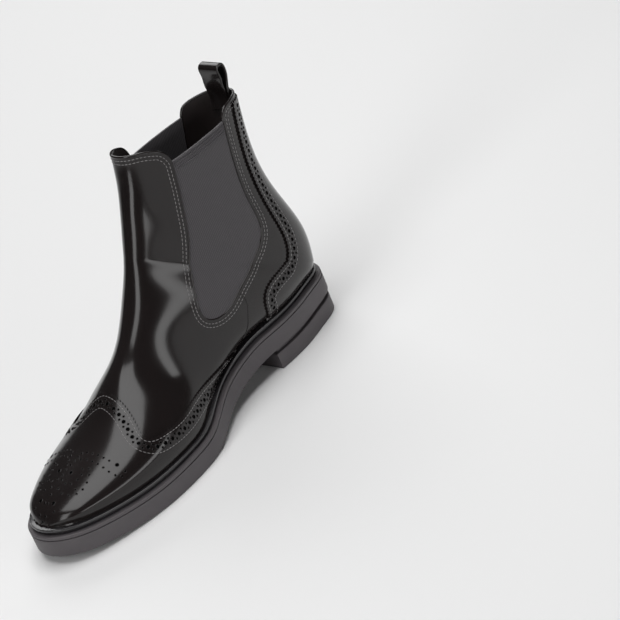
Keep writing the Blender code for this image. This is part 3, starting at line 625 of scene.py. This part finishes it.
weave = {"rib": 0.0013, "thread": 0.0009, "lean": 0.12, "dark": (0.012, 0.010, 0.012),
         "light": (0.072, 0.065, 0.072)}
made["wovenElastic"] = buildElastic()
print("finishes ready")


# upper: one shell, open at the collar, at the elastic panels and underneath
upperShell = {"rows": 120, "shaftRows": 60, "columns": 44, "goreSteps": 90}
goreSide = smoothLine(sideSpot(goreRows), upperShell["goreSteps"])
collarSide = sideSpot(collarRows)


def buildUpper():
    rows = np.append(easeEnds(upperShell["rows"], 0.8), np.linspace(1, 2, upperShell["shaftRows"] + 1)[1:])
    half = spreadEnds(upperShell["columns"])
    around, down = np.meshgrid(rows, np.append(-half[::-1], half[1:]), indexing="ij")
    grid, normal = wholeGrid(around, down)
    upper = addSheet("upperShell", skinAt(grid, normal, around, down, boot["upperSkin"]))
    closeSeams(upper)
    finish(upper, [made["polishedLeather"], made["liningLeather"]], "leather", "upper")
    thicken(upper, boot["wall"], inner=1)
    high = collarSide[:, 1].max() + 0.03
    sky = [(collarSide[-1, 0], high), (collarSide[0, 0], high)]
    cutWith(upper, sideCutter("collarCutter", [*collarSide, *sky]), "DIFFERENCE")
    openTop = [(goreSide[-1, 0], high - 0.02), (goreSide[0, 0], high - 0.02)]
    cutWith(upper, sideCutter("goreCutter", [*goreSide, *openTop]), "DIFFERENCE")
    smooth(upper)
    return upper


buildUpper()
print("upper ready")


gore = {"drop": 0.0005, "web": 0.0012,
        "cords": ((0.0005, 0.0005), (0.0024, 0.00035), (0.0043, 0.00035), (0.0062, 0.00035))}


def buildGore(name, side):
    skin = boot["upperSkin"] - gore["drop"]
    down = np.linspace(0.04, 0.96, 40) * side
    around, down = np.meshgrid(np.linspace(0.62, 2, 90), np.sort(down), indexing="ij")
    grid = lastPoints(around, np.abs(down), side)
    sheet = addSheet(name + "Web", grid + outward(grid) * skin)
    thicken(sheet, gore["web"])
    cutWith(sheet, sideCutter("goreShape", goreSide), "INTERSECT")
    smooth(sheet)
    finish(sheet, [made["wovenElastic"]], "elastic", name)
    top = np.linspace(0, 1, 40)[:, None] * (goreSide[-1] - goreSide[0]) + goreSide[0]
    cords = []
    for drop, radius in gore["cords"]:  # selvedge cords along the top
        places = layOn([castSide(x, z - drop, side) for x, z in top[1:-1]], skin)[0]
        cords.append(addPiping("selvedge", softened(places, 2), radius, sides=1))
    finish(joinPieces(name + "Selvedge", cords), [made["wovenElastic"]], "elastic")


buildGore("gore_medial", 1)
buildGore("gore_lateral", -1)
print("gores ready")


# stitches and punched holes, modelled once and copied along the seams
stitchLook = {"length": 0.0021, "width": 0.00052, "height": 0.000544, "pitch": 0.0027}
holeLook = {"small": 0.00068, "big": 0.00125, "rim": 0.00032, "skirt": -0.0002, "lift": 0.00022,
            "floor": 0.0001, "sides": 12, "pitch": 0.0062, "spread": 0.0017}
holeMaterials = [made["polishedLeather"], made["paintedHoleShade"]]


def modelStitch():
    deselectAll()
    bpy.ops.mesh.primitive_uv_sphere_add(segments=8, ring_count=4, radius=0.5, rotation=(0, math.pi / 2, 0))
    stitch = bpy.context.object
    bpy.ops.object.transform_apply(location=False, rotation=True, scale=False)
    size = Vector((stitchLook["length"], stitchLook["width"], stitchLook["height"]))
    for vertex in stitch.data.vertices:
        vertex.co *= size
    return stitch


def modelHole(radius):  # a disc painted near-black as painted shade for the hole's depth, in a low round rim
    count = holeLook["sides"]
    rings = [(radius + holeLook["rim"], holeLook["skirt"]), (radius + holeLook["rim"] / 2, holeLook["lift"]),
             (radius, holeLook["floor"])]
    turns = np.linspace(0, 2 * np.pi, count + 1)[:-1]
    points = [(r * math.cos(t), r * math.sin(t), z) for r, z in rings for t in turns]
    index = np.arange(3 * count).reshape(3, count)
    ahead = np.roll(index, -1, axis=1)
    sides = np.stack([index[:-1], ahead[:-1], ahead[1:], index[1:]], -1).reshape(-1, 4)
    faces = [*sides.tolist(), index[2].tolist()]
    mesh = bpy.data.meshes.new("hole")
    mesh.from_pydata(points, [], faces)
    for look in holeMaterials:
        mesh.materials.append(look)
    # the disc takes the painted shade material
    mesh.polygons[len(faces) - 1].material_index = 1
    return bpy.data.objects.new("hole", mesh)


stitchModel = modelStitch()
smallHole, bigHole = modelHole(holeLook["small"]), modelHole(holeLook["big"])


def sewRow(name, points, height):
    places, normals = layOn(evenLine(points, stitchLook["pitch"]), height)
    return copyAlong(name, stitchModel, places, unit(np.gradient(places, axis=0)), normals)


def punchRow(name, points, height):  # a big hole, then a pair of small ones
    places, normals = layOn(evenLine(points, holeLook["pitch"] / 2), height)
    tangents = unit(np.gradient(places, axis=0))
    big = copyAlong(name + "Big", bigHole, places[1::2], tangents[1::2], normals[1::2])
    across = unit(np.cross(tangents, normals))[::2] * holeLook["spread"]
    pairPlaces, pairNormals = layOn(np.concatenate([places[::2] + across, places[::2] - across]), height)
    pairTangents = np.concatenate([tangents[::2]] * 2)
    return [big, copyAlong(name + "Small", smallHole, pairPlaces, pairTangents, pairNormals)]


def finishRows(name, rows):
    finish(joinPieces(name, rows), [made["thread"]], "leather")


def finishHoles(name, holes):
    finish(joinPieces(name, holes), holeMaterials, "leather")


band = {"tooth": 0.0013, "reach": 0.0011, "firstRow": 0.0016, "holes": 0.0056, "lastRow": 0.0098,
        "counterHoles": 0.0052, "counterLastRow": 0.0086, "step": 0.0015}


def toothed(points, line, turn):  # pinks the edge: every other point of the last row moves out
    normals = layOn(line, 0)[1]
    out = -unit(np.cross(unit(np.gradient(line, axis=0)), normals)) * turn
    step = np.where(np.arange(len(line)) % 2 == 1, band["reach"], 0)
    return points + out * step[:, None]


def wingReach(down):  # how far the wing runs back, by the way down from the top line
    return splineThrough([row[0] for row in wingRows], [row[1] for row in wingRows], np.abs(down))[:, 0]


def buildToeCap():
    down = np.linspace(-1, 1, 3001)
    halves = [lastPoints(wingReach(down), np.abs(down), side) for side in (-1, 1)]
    place = runningLength(np.where((down < 0)[:, None], *halves))
    count = int(place[-1] / band["tooth"]) // 2 * 2 + 1
    down = np.interp(np.linspace(0, place[-1], count), place, down)
    down[count // 2] = 0
    even = np.linspace(0, 1, 72)  # rows lie closer at the tip of the toe
    shares = np.append(0.96 * (even - 0.7 * np.sin(np.pi * even) / np.pi), [0.972, 0.986, 1.0])
    around = shares[:, None] * wingReach(down)[None, :]
    downs = np.broadcast_to(down, around.shape)
    grid, normal = wholeGrid(around, downs)
    height = boot["overlaySkin"]
    points = skinAt(grid, normal, around, downs, height)
    points[-1] = toothed(points[-1], grid[-1], 1)
    cap = addSheet("toeCapLeather", points)
    closeSeams(cap)
    thicken(cap, boot["overlay"])
    smooth(cap)
    finish(cap, [made["polishedLeather"]], "leather", "toe_cap")
    edge = evenLine(grid[-1], band["step"])
    rows = [sewRow("wingStitch", moveAcross(edge, band[row], 1), height) for row in ("firstRow", "lastRow")]
    finishRows("wingStitches", rows)
    finishHoles("wingHoles", punchRow("wingHole", moveAcross(edge, band["holes"], 1)[3:-3], height))


buildToeCap()
print("toe cap ready")


# holes on the toe, in mm: distance from the middle of the sole, and from its centre line on both sides
medallion = {
    "small": (
        (101.5, 0.0), (97.9, 1.6), (94.4, 2.9), (91.2, 3.6), (88.3, 4.6), (86.9, 8.2), (86.4, 12.4),
        (86.2, 16.8), (86.3, 21.2), (86.4, 25.5), (86.6, 36.3), (92.4, 6.6), (91.3, 11.0), (91.3, 15.5),
        (91.5, 20.0), (92.0, 24.5), (92.6, 28.9), (92.2, 33.0), (90.2, 36.0), (98.2, 12.0), (96.3, 16.2),
        (102.0, 13.8), (100.2, 18.6), (106.0, 0.0), (109.2, 2.0), (110.8, 6.2), (110.1, 10.4),
        (106.0, 13.3), (105.2, 20.2), (115.5, 3.2), (117.6, 8.0), (117.3, 13.6), (112.3, 15.8),
        (114.6, 18.0), (110.3, 20.2), (120.3, 0.0), (126.0, 1.3), (129.4, 8.8), (132.4, 2.6),
        (134.2, 0.0),
    ),
    "big": (
        (86.2, 31.0), (102.7, 5.4), (125.1, 5.8),
    ),
}


def punchMedallion():
    holes = []
    for model, size in ((smallHole, "small"), (bigHole, "big")):
        spots = []
        for x, off in medallion[size]:
            for side in ((1, -1) if off else (1,)):
                start = Vector((x * mm, float(centreY(x * mm)) + sideShift + side * off * mm, 0.2))
                spots.append(lastTree.ray_cast(start, Vector((0, 0, -1)))[0])
        places, normals = layOn([spot for spot in spots if spot is not None], boot["overlaySkin"])
        tangents = unit(np.cross(normals, np.tile((0.0, 1.0, 0.0), (len(places), 1))))
        holes.append(copyAlong("medallion", model, places, tangents, normals))
    finishHoles("medallionHoles", holes)


punchMedallion()


def counterStart(around):  # how far from the top line the counter begins
    table = np.array(counterRows)
    return np.clip(splineThrough(table[:, 0], table[:, 1], around)[:, 0], 0, 1)


def buildCounter():
    sheets, rows, holes = [], [], []
    height = boot["overlaySkin"]
    fine = np.linspace(counterRows[0][0], counterRows[-1][0], 2001)
    pair = [lastPoints(fine, counterStart(fine), side) for side in (1, -1)]
    place = runningLength((pair[0] + pair[1] * (1, -1, 1)) / 2)
    around = np.interp(np.linspace(0, place[-1], int(place[-1] / band["tooth"])), place, fine)
    around = np.sort(np.append(around, 1.0))
    start = counterStart(around)[:, None]
    shares = np.append([0, 0.03, 0.07], 1 - (1 - np.linspace(0.12, 1, 34)) ** 1.3)
    down = start + (1 - start) * shares[None, :]
    arounds = np.broadcast_to(around[:, None], down.shape)
    grids = [lastPoints(arounds, down, side) for side in (1, -1)]
    normals = [outward(grid) * side for grid, side in zip(grids, (1, -1))]
    meet = np.linalg.norm(grids[0] - grids[1], axis=2) < 1e-6
    shared = unit(normals[0] + normals[1])
    for side, grid, normal in zip((1, -1), grids, normals):
        normal[meet] = shared[meet]
        points = skinAt(grid, normal, arounds, down, height)
        points[:, 0] = toothed(points[:, 0], grid[:, 0], side)
        sheets.append(addSheet("counterSide", points if side > 0 else points[:, ::-1]))
        edge = evenLine(grid[:, 0], band["step"])
        for row in ("firstRow", "counterLastRow"):
            rows.append(sewRow("counterStitch", moveAcross(edge, band[row], side), height))
        holes += punchRow("counterHole", moveAcross(edge, band["counterHoles"], side)[4:-2], height)
    counter = joinPieces("counterLeather", sheets)
    closeSeams(counter)
    thicken(counter, boot["overlay"])
    smooth(counter)
    finish(counter, [made["polishedLeather"]], "leather", "heel_counter")
    finishRows("counterStitches", rows)
    finishHoles("counterHoles", holes)


buildCounter()
print("counter ready")


# the opening's edge: collar front, down and round the elastic, collar back
opening = {"bead": 0.00105, "sunk": 0.45, "rows": (0.0022, 0.0046), "overlap": 0.0004}


def collarLoop(side, steps=200):
    around = np.linspace(1.0, 2.0, 600)
    line = []
    x, z = collarSide[::-1, 0], collarSide[::-1, 1]
    for down in np.linspace(0, 1, steps):
        points = lastPoints(around, np.full(len(around), down), side)
        over = points[:, 2] - np.interp(points[:, 0], x, z)
        k = int(np.argmax(over > 0))
        share = over[k - 1] / (over[k - 1] - over[k])
        line.append(points[k - 1] + share * (points[k] - points[k - 1]))
    return np.array(line)


def openingEdge(side):
    loop = collarLoop(side)
    front = loop[loop[:, 0] > goreSide[0, 0] + opening["overlap"]]
    back = loop[loop[:, 0] < goreSide[-1, 0] - opening["overlap"]]
    return np.vstack([front, [castSide(x, z, side) for x, z in goreSide], back])


def finishOpening():
    edges, rows = [], []
    for side in (1, -1):
        line = softened(evenLine(openingEdge(side), 0.001), 3)
        edges.append(line)
        for distance in opening["rows"]:
            rows.append(sewRow("openingStitch", moveAcross(line[1:-1], distance, side), boot["upperSkin"]))
    whole = np.vstack([edges[0], edges[1][-2:0:-1]])
    places = layOn(whole, boot["upperSkin"] - boot["wall"] * opening["sunk"])[0]
    bead = addPiping("collarBead", places, opening["bead"], closed=True)
    finish(bead, [made["polishedLeather"]], "leather")
    finishRows("openingStitches", rows)


finishOpening()


def buildQuarterSeam():  # the short seam from the elastic down to the welt
    rows = sideSpot([(0.300, 0.225), (0.294, 0.185), (0.304, 0.130), (0.316, 0.070), (0.330, 0.020)])
    seams = []
    for side in (1, -1):
        spots = [castSide(x, z, side) for x, z in smoothLine(rows, 30)]
        places = layOn([spot for spot in spots if spot is not None], boot["upperSkin"])[0]
        seams.append(addPiping("quarterSeam", places, 0.0004))
    finish(joinPieces("quarterSeams", seams), [made["polishedLeather"]], "leather")


buildQuarterSeam()
print("seams ready")


# sole: welt, rubber unit, heel
sole = {"stations": 260, "rim": 0.0088, "rimDraw": 0.0012, "lip": 0.0021, "groove": 0.0008, "tread": 0.0025,
        "lugDrop": 0.0005, "stud": 0.0077, "weltInset": 0.0026, "weltRecess": 0.0011, "weltReach": 0.0065,
        "heelInset": 0.0010, "neckDepth": 0.0024, "neckHeight": 0.0030, "ringX": -0.0948}


def ringSheet(name, profile, caps=()):  # profile: inset, ledges, rise; caps: end row and level of the middle
    rows = []
    for inset, ledges, rise in profile:
        ring = soleEdge(sole["stations"], inset, ledges)
        rows.append(np.column_stack([ring, soleBottom(ring[:, 0]) + rise]))
    points = np.array(rows)
    for end, level in caps:
        ring = points[end]
        middle = np.column_stack([ring[:, 0], centreY(ring[:, 0]), ring[:, 2]])
        shares = np.linspace(0, 1, 9)[1:, None, None]
        inside = ring[None] * (1 - shares) + middle[None] * shares
        if level is not None:
            inside[..., 2] = level(inside[..., 0])
        points = np.concatenate([inside[::-1], points] if end == 0 else [points, inside])
    points = np.concatenate([points, points[:, :1]], 1)
    points[..., 1] += sideShift
    sheet = addSheet(name, points)
    closeSeams(sheet, recalculate=True)
    return sheet


def treadFloor(x):
    along = np.asarray(x) / boot["soleLength"] + 0.5
    deep = np.clip((along - boot["heelLength"] / boot["soleLength"] + 0.04) / 0.04, 0, 1)
    return soleBottom(x) + sole["tread"] * deep


def buildWelt():
    base = boot["bandHeight"] + boot["clearance"]
    inset, top = sole["weltInset"], boot["weltHeight"]
    recess = inset + sole["weltRecess"]
    profile = [
        (recess, 0, base), (recess, 0, base + top * 0.38), (inset + 0.0004, 0, base + top * 0.48),
        (inset, 0, base + top * 0.56), (inset, 0, base + top - 0.0006),
        (inset + 0.0002, 0, base + top - 0.0002), (inset + 0.0006, 0, base + top),
        (sole["weltReach"], 1, base + top), (sole["weltReach"], 1, base), (recess, 0, base),
    ]
    welt = ringSheet("weltStrip", profile)
    smooth(welt, 30)
    finish(welt, [made["weltRubber"]], "welt", "welt")


def rimSpot(along, side, inset):
    ring = soleEdge(sole["stations"], inset)
    half = len(ring) // 2
    line = ring[:half + 1] if side > 0 else np.vstack([ring[:1], ring[:half - 1:-1]])
    return np.array([soleX(along), np.interp(soleX(along), line[:, 0], line[:, 1])])


# a stud's rings of points, its three arms and its ring line, in mm
studLook = {
    "radii": (0, 0.4, 0.8, 1.2, 1.8, 2.4, 3.0, 3.6, 4.2, 4.6, 5.0, 5.4, 5.8, 6.0, 6.2, 6.5, 6.7, 6.9, 7.4, 7.62,
              7.7, 7.7),
    "armHalf": 1.1, "armEnd": 5.0, "armStart": -0.2, "armDepth": 0.9, "line": 6.1, "lineHalf": 0.5,
    "lineDepth": 0.5, "side": 0.5, "end": 0.6, "slope": 0.3, "edge": 0.3, "root": 3.5, "steps": 73,
}


def addStud(centre):  # a round stud with a ring line and a three-armed recess
    look = studLook
    radius, turn = np.meshgrid(look["radii"], np.linspace(0, 2 * np.pi, look["steps"]), indexing="ij")
    arm = np.abs((turn - np.pi / 6) % (2 * np.pi / 3) - np.pi / 3)
    along, off = radius * np.cos(arm), np.abs(radius * np.sin(arm))
    spoke = np.clip((look["armHalf"] - off) / look["side"], 0, 1)
    spoke *= np.clip((look["armEnd"] - along) / look["end"], 0, 1)
    spoke *= np.clip((along - look["armStart"]) / look["end"], 0, 1)
    line = np.clip((look["lineHalf"] - np.abs(radius - look["line"])) / look["slope"], 0, 1)
    rise = look["armDepth"] * spoke + look["lineDepth"] * line
    rise[-2] += look["edge"]
    rise[-1] += look["root"]
    radius, rise = radius * mm, rise * mm
    x = centre[0] + radius * np.cos(turn)
    y = centre[1] + sideShift + radius * np.sin(turn)
    stud = addSheet("stud", np.stack([x, y, soleBottom(x) + rise], -1))
    closeSeams(stud, recalculate=True)
    return stud


studRows = [  # share of the length, share of the ball's width, stretch of rim that the lug grows from
    (0.521, 0.084, 0.466, 0.520), (0.573, 0.159, 0.534, 0.585), (0.633, 0.200, 0.592, 0.655),
    (0.700, 0.202, 0.666, 0.731), (0.770, 0.176, 0.744, 0.816), (0.516, -0.208, 0.465, 0.524),
    (0.576, -0.232, 0.533, 0.595), (0.637, -0.213, 0.605, 0.667), (0.701, -0.170, 0.682, 0.747),
    (0.765, -0.111, 0.760, 0.828), (0.572, -0.051, 0, 0), (0.639, -0.011, 0, 0), (0.712, 0.019, 0, 0),
]
fanHub = [(0.812, 0.123), (0.818, 0.075), (0.817, 0.020), (0.805, -0.038)]
fanRim = (0.828, 0.839)


def buildTread():
    root = sole["tread"] + 0.0012
    pieces = []
    for along, across, rimFrom, rimTo in studRows:
        centre = np.array([soleX(along), across * boot["ballWidth"]])
        pieces.append(addStud(centre))
        if rimFrom:
            side = np.sign(across)
            rim = [rimSpot(share, side, sole["rim"] - sole["rimDraw"]) for share in (rimFrom, rimTo)]
            ahead = (rim[1] - rim[0]) / np.linalg.norm(rim[1] - rim[0])
            flank = ahead * sole["stud"] * 0.93
            inner = [centre - flank, centre + flank]
            for first, last in ((0.0, 0.46), (0.54, 1.0)):
                outerPair = [rim[0] + (rim[1] - rim[0]) * share for share in (first, last)]
                innerPair = [inner[0] + (inner[1] - inner[0]) * share for share in (last, first)]
                pieces.append(addSlab("lug", outerPair + innerPair, sole["lugDrop"], root))
    pieces += buildFan(root)
    for piece in pieces:
        smooth(piece, 35)
    tread = joinPieces("treadLugs", pieces)
    finish(tread, [made["treadRubber"]], "rubber")


def buildFan(root):  # the toe's lugs, spread like a fan between the hub and the rim
    ring = soleEdge(sole["stations"], sole["rim"] - sole["rimDraw"])
    half = len(ring) // 2
    medial = [spot for spot in ring[:half + 1] if spot[0] > soleX(fanRim[0])]
    lateral = [spot for spot in ring[half + 1:] if spot[0] > soleX(fanRim[1])]
    outer = np.array(medial + lateral)
    inner = np.array([(soleX(along), across * boot["ballWidth"]) for along, across in fanHub])
    outer = evenLine(outer, runningLength(outer)[-1] / 90)
    inner = evenLine(inner, runningLength(inner)[-1] / 90)
    lugs = []
    for k in range(10):
        first, last = k * 9 + (1 if k else 0), (k + 1) * 9 - (1 if k < 9 else 0)
        outline = np.vstack([outer[first:last + 1], inner[[last, (first + last) // 2, first]]])
        lugs.append(addSlab("toeLug", outline, sole["lugDrop"], root))
    return lugs


def buildRibs():  # fine ribs in the rim
    deselectAll()
    bpy.ops.mesh.primitive_cube_add(size=1)
    rib = bpy.context.object
    for vertex in rib.data.vertices:
        wide = 1 if vertex.co.z < 0 else 0.7
        vertex.co = (vertex.co.x * 0.0010 * wide, vertex.co.y * 0.0046, vertex.co.z * 0.0010)
    ring = soleEdge(sole["stations"], 0.0048)
    half = len(ring) // 2
    rows = []
    for line in (ring[:half + 1], np.vstack([ring[:1], ring[:half - 1:-1]])):
        line = line[line[:, 0] > soleX(0.33)]
        line = evenLine(line, 0.0021)
        z = soleBottom(line[:, 0]) + 0.00055
        places = np.column_stack([line[:, 0], line[:, 1] + sideShift, z])
        tangents = unit(np.gradient(places, axis=0))
        down = np.tile((0.0, 0.0, -1.0), (len(line), 1))
        rows.append(copyAlong("rimRib", rib, places, tangents, down))
    bpy.data.objects.remove(rib)
    ribs = joinPieces("rimRibs", rows)
    ribs.data.shade_flat()
    finish(ribs, [made["treadRubber"]], "rubber")


def buildOutsole():
    lip = boot["bandHeight"] - sole["lip"]
    groove = sole["groove"]
    profile = [
        (sole["rim"] + 0.0004, 0, 0.0026), (sole["rim"], 0, 0.0004), (sole["rim"] - 0.0004, 0, 0),
        (0.0075, 0, 0), (0.0072, 0, 0.0005), (0.0024, 0, 0.0005), (0.0021, 0, 0), (0.0008, 0, 0),
        (0.00025, 0, 0.00025), (0, 0, 0.0008), (0, 0, lip - groove), (0.0002, 0, lip - groove * 0.95),
        (groove, 0, lip - groove * 0.8), (groove, 0, lip - groove * 0.2), (0.0002, 0, lip - groove * 0.05),
        (0, 0, lip), (0, 0, boot["bandHeight"] - 0.0004), (0.0004, 0, boot["bandHeight"]),
    ]
    unitSole = ringSheet("soleUnit", profile, caps=[(0, treadFloor), (-1, None)])
    smooth(unitSole, 32)
    finish(unitSole, [made["soleRubber"]], "rubber", "outsole")


def heelLoop(count, inset):  # the heel's plan, from one corner of its breast round the back to the other
    ring = soleEdge(sole["stations"], inset)
    half = len(ring) // 2
    breast = soleX(boot["heelLength"] / boot["soleLength"]) - inset
    line = np.vstack([ring[half:], ring[:half + 1]])
    near = line[:, 0] < breast
    first, last = int(np.argmax(near)), len(near) - 1 - int(np.argmax(near[::-1]))
    ends = []
    for inner, outer in ((first, first - 1), (last, last + 1)):
        share = (breast - line[inner, 0]) / (line[outer, 0] - line[inner, 0])
        ends.append(line[inner] + share * (line[outer] - line[inner]))
    path = np.vstack([ends[0], line[first:last + 1], ends[1]])
    place = runningLength(path)
    at = np.linspace(0, place[-1], count)
    return np.stack([np.interp(at, place, path[:, 0]), np.interp(at, place, path[:, 1]) + sideShift], 1)


def buildHeel():
    top = boot["heelHeight"] - boot["clearance"]
    block, inset = top - sole["neckHeight"], sole["heelInset"]
    profile = [(inset + 0.0006, 0), (inset + 0.0002, 0.0002), (inset, 0.0006), (inset, block - 0.0005),
               (inset + 0.0004, block), (inset + sole["neckDepth"], block + 0.0002),
               (inset + sole["neckDepth"], top)]
    count = 160
    rows = [np.column_stack([heelLoop(count, value), np.full(count, z)]) for value, z in profile]
    points = np.array(rows)
    points = np.concatenate([points, points[:, :1]], 1)
    sides = addSheet("heelBlock", points)
    caps = []
    for row in (rows[0], rows[-1]):
        half = count // 2
        pair = np.array([row[:half], row[:half - 1:-1]])
        caps.append(addSheet("heelFace", pair))
    heel = joinPieces("heelBlock", [sides, *caps])
    closeSeams(heel, recalculate=True)
    deselectAll()
    bpy.ops.mesh.primitive_torus_add(
        location=(sole["ringX"], sideShift, -0.0001), major_segments=72, minor_segments=8,
        major_radius=0.009, minor_radius=0.0007)
    cutWith(heel, bpy.context.object, "DIFFERENCE")
    deselectAll()
    bpy.ops.mesh.primitive_cube_add(size=1, location=(sole["ringX"], sideShift - 0.0245, 0))
    groove = bpy.context.object
    groove.dimensions = (0.0011, 0.030, 0.0014)
    bpy.ops.object.transform_apply(location=False, rotation=False, scale=True)
    cutWith(heel, groove, "DIFFERENCE")
    smooth(heel, 32)
    finish(heel, [made["soleRubber"]], "rubber", "heel")


buildWelt()
buildOutsole()
buildTread()
buildRibs()
buildHeel()
print("sole ready")


# pull loop: a strap folded at the back of the collar
loopLook = {"width": 0.017, "rise": 0.023, "tail": 0.012, "strap": 0.0016, "gap": 0.0014, "bow": 0.0022}


def buildPullLoop():
    lift = -boot["upperSkin"]
    collar = sideSpot(collarRows[-2])
    back = lastPoints(np.linspace(1.3, 2, 60), np.ones(60), 1)
    foot = np.interp([collar[1] - loopLook["tail"], collar[1]], back[:, 2], back[:, 0])
    inside = lift + boot["wall"] + loopLook["gap"] + loopLook["strap"] / 2
    x, z, rise = foot[1] + inside, collar[1], loopLook["rise"]
    rear = [(foot[0] + inside, z - loopLook["tail"]), (x, z)]
    step = loopLook["strap"] + 1.5 * boot["clearance"]
    crown = [(x - 0.0008, z + 0.20 * rise), (x - 0.0030, z + 0.62 * rise), (x - 0.0014, z + 0.86 * rise),
             (x + 0.0026, z + 0.84 * rise), (x + 0.0034, z + 0.60 * rise),
             (x + 0.0022 + step * 0.4, z + 0.20 * rise)]
    front = [(px + step, pz) for px, pz in rear[::-1]]
    line = smoothLine([*rear, *crown, *front], 90)
    tangent = unit(np.gradient(line, axis=0))
    bow = loopLook["bow"] * np.clip(1 - (line[:, 1] - z) / (0.5 * rise), 0, 1)
    shares = np.linspace(-1, 1, 25)
    across = shares[None, :] * np.ones((len(line), 1))
    points = np.stack([line[:, 0, None] + bow[:, None] * across ** 2, across * loopLook["width"] / 2,
                       line[:, 1, None] * np.ones(25)], -1)
    out = np.column_stack([-tangent[:, 1], np.zeros(len(line)), tangent[:, 0]])
    points = points - out[:, None] * loopLook["strap"] / 2
    strap = addSheet("pullStrap", points)
    thicken(strap, loopLook["strap"])
    closeSeams(strap, 1e-6, recalculate=True)
    edge = strap.modifiers.new("roundEdge", "BEVEL")
    edge.width = 0.0005
    edge.segments = 2
    edge.limit_method = "ANGLE"
    activate(strap)
    bpy.ops.object.modifier_apply(modifier=edge.name)
    smooth(strap, 35)
    finish(strap, [made["polishedLeather"]], "leather", "pull_loop")


buildPullLoop()

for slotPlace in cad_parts["insole"].material_slots:
    slotPlace.material = made["liningLeather"]

for spare in (stitchModel, smallHole, bigHole):
    bpy.data.objects.remove(spare)
print("pull loop ready")


# camera, from the photograph's angle: place, its own axes in the boot's frame, lens and sensor in mm
view = {"place": (1.04057, 1.45408, 1.03323), "right": (-0.59624, 0.72521, -0.34434),
        "above": (-0.58635, -0.10041, 0.80381), "ahead": (-0.54836, -0.68117, -0.48509),
        "lens": 184.8, "sensor": 36, "farthest": 20}


def addCamera():
    data = bpy.data.cameras.new("photoView")
    data.lens, data.sensor_width = view["lens"], view["sensor"]
    data.clip_end = view["farthest"]
    camera = bpy.data.objects.new("photoView", data)
    bpy.context.scene.collection.objects.link(camera)
    axes = Matrix((view["right"], view["above"], -Vector(view["ahead"]))).transposed().to_4x4()
    camera.matrix_world = Matrix.Translation(Vector(view["place"])) @ axes
    bpy.context.scene.camera = camera


addCamera()

studio = {"floor": 24.0, "floorTone": 0.80, "world": 0.60, "shade": 0.05, "darkSide": (0.548, 0.681, 0.485)}


def addFloor():
    deselectAll()
    bpy.ops.mesh.primitive_plane_add(size=studio["floor"], location=(0, 0, cadBox[0][2]))
    floor = bpy.context.object
    floor.name = "studioFloor"
    material, _, _, shader = startMaterial("paleFloor")
    shader.inputs["Base Color"].default_value = (studio["floorTone"],) * 3 + (1,)
    shader.inputs["Roughness"].default_value = 0.9
    floor.data.materials.append(material)


def addLight(name, place, aim, size, power):
    data = bpy.data.lights.new(name, "AREA")
    data.shape = "RECTANGLE"
    data.size, data.size_y = size
    data.energy = power
    light = bpy.data.objects.new(name, data)
    bpy.context.scene.collection.objects.link(light)
    light.location = place
    light.rotation_euler = (Vector(aim) - Vector(place)).to_track_quat("-Z", "Y").to_euler()


def addWorld():
    world = bpy.data.worlds.new("studioWorld")
    bpy.context.scene.world = world
    world.use_nodes = True
    backdrop = world.node_tree.nodes["Background"]
    nodes, links = world.node_tree.nodes, world.node_tree.links
    way = nodes.new("ShaderNodeTexCoord")
    toward = nodes.new("ShaderNodeVectorMath")
    toward.operation = "DOT_PRODUCT"
    toward.inputs[1].default_value = studio["darkSide"]
    ramp = nodes.new("ShaderNodeMapRange")
    ramp.interpolation_type = "SMOOTHSTEP"
    ramp.inputs["From Min"].default_value = -0.2
    ramp.inputs["From Max"].default_value = 0.75
    ramp.inputs["To Min"].default_value = studio["world"]
    ramp.inputs["To Max"].default_value = studio["shade"]
    links.new(way.outputs["Generated"], toward.inputs[0])
    links.new(toward.outputs["Value"], ramp.inputs["Value"])
    links.new(ramp.outputs["Result"], backdrop.inputs["Strength"])
    bpy.context.scene.view_settings.view_transform = "Standard"


# place, point it faces, width and height, power in watts
lights = {
    "overhead": ((0.0, 0.1, 1.6), (0, 0, 0.05), (1.6, 1.2), 22),
    "toeSide": ((1.3, 0.2, 0.7), (0.05, 0, 0.08), (0.5, 1.2), 7),
    "medialSide": ((0.1, 1.7, 0.35), (0.0, 0, 0.05), (2.2, 0.35), 9),
    "behind": ((-0.9, -1.0, 1.0), (0, 0, 0.1), (1.2, 0.8), 10),
}
addFloor()
for name, look in lights.items():
    addLight(name, *look)
addWorld()
print("studio ready")
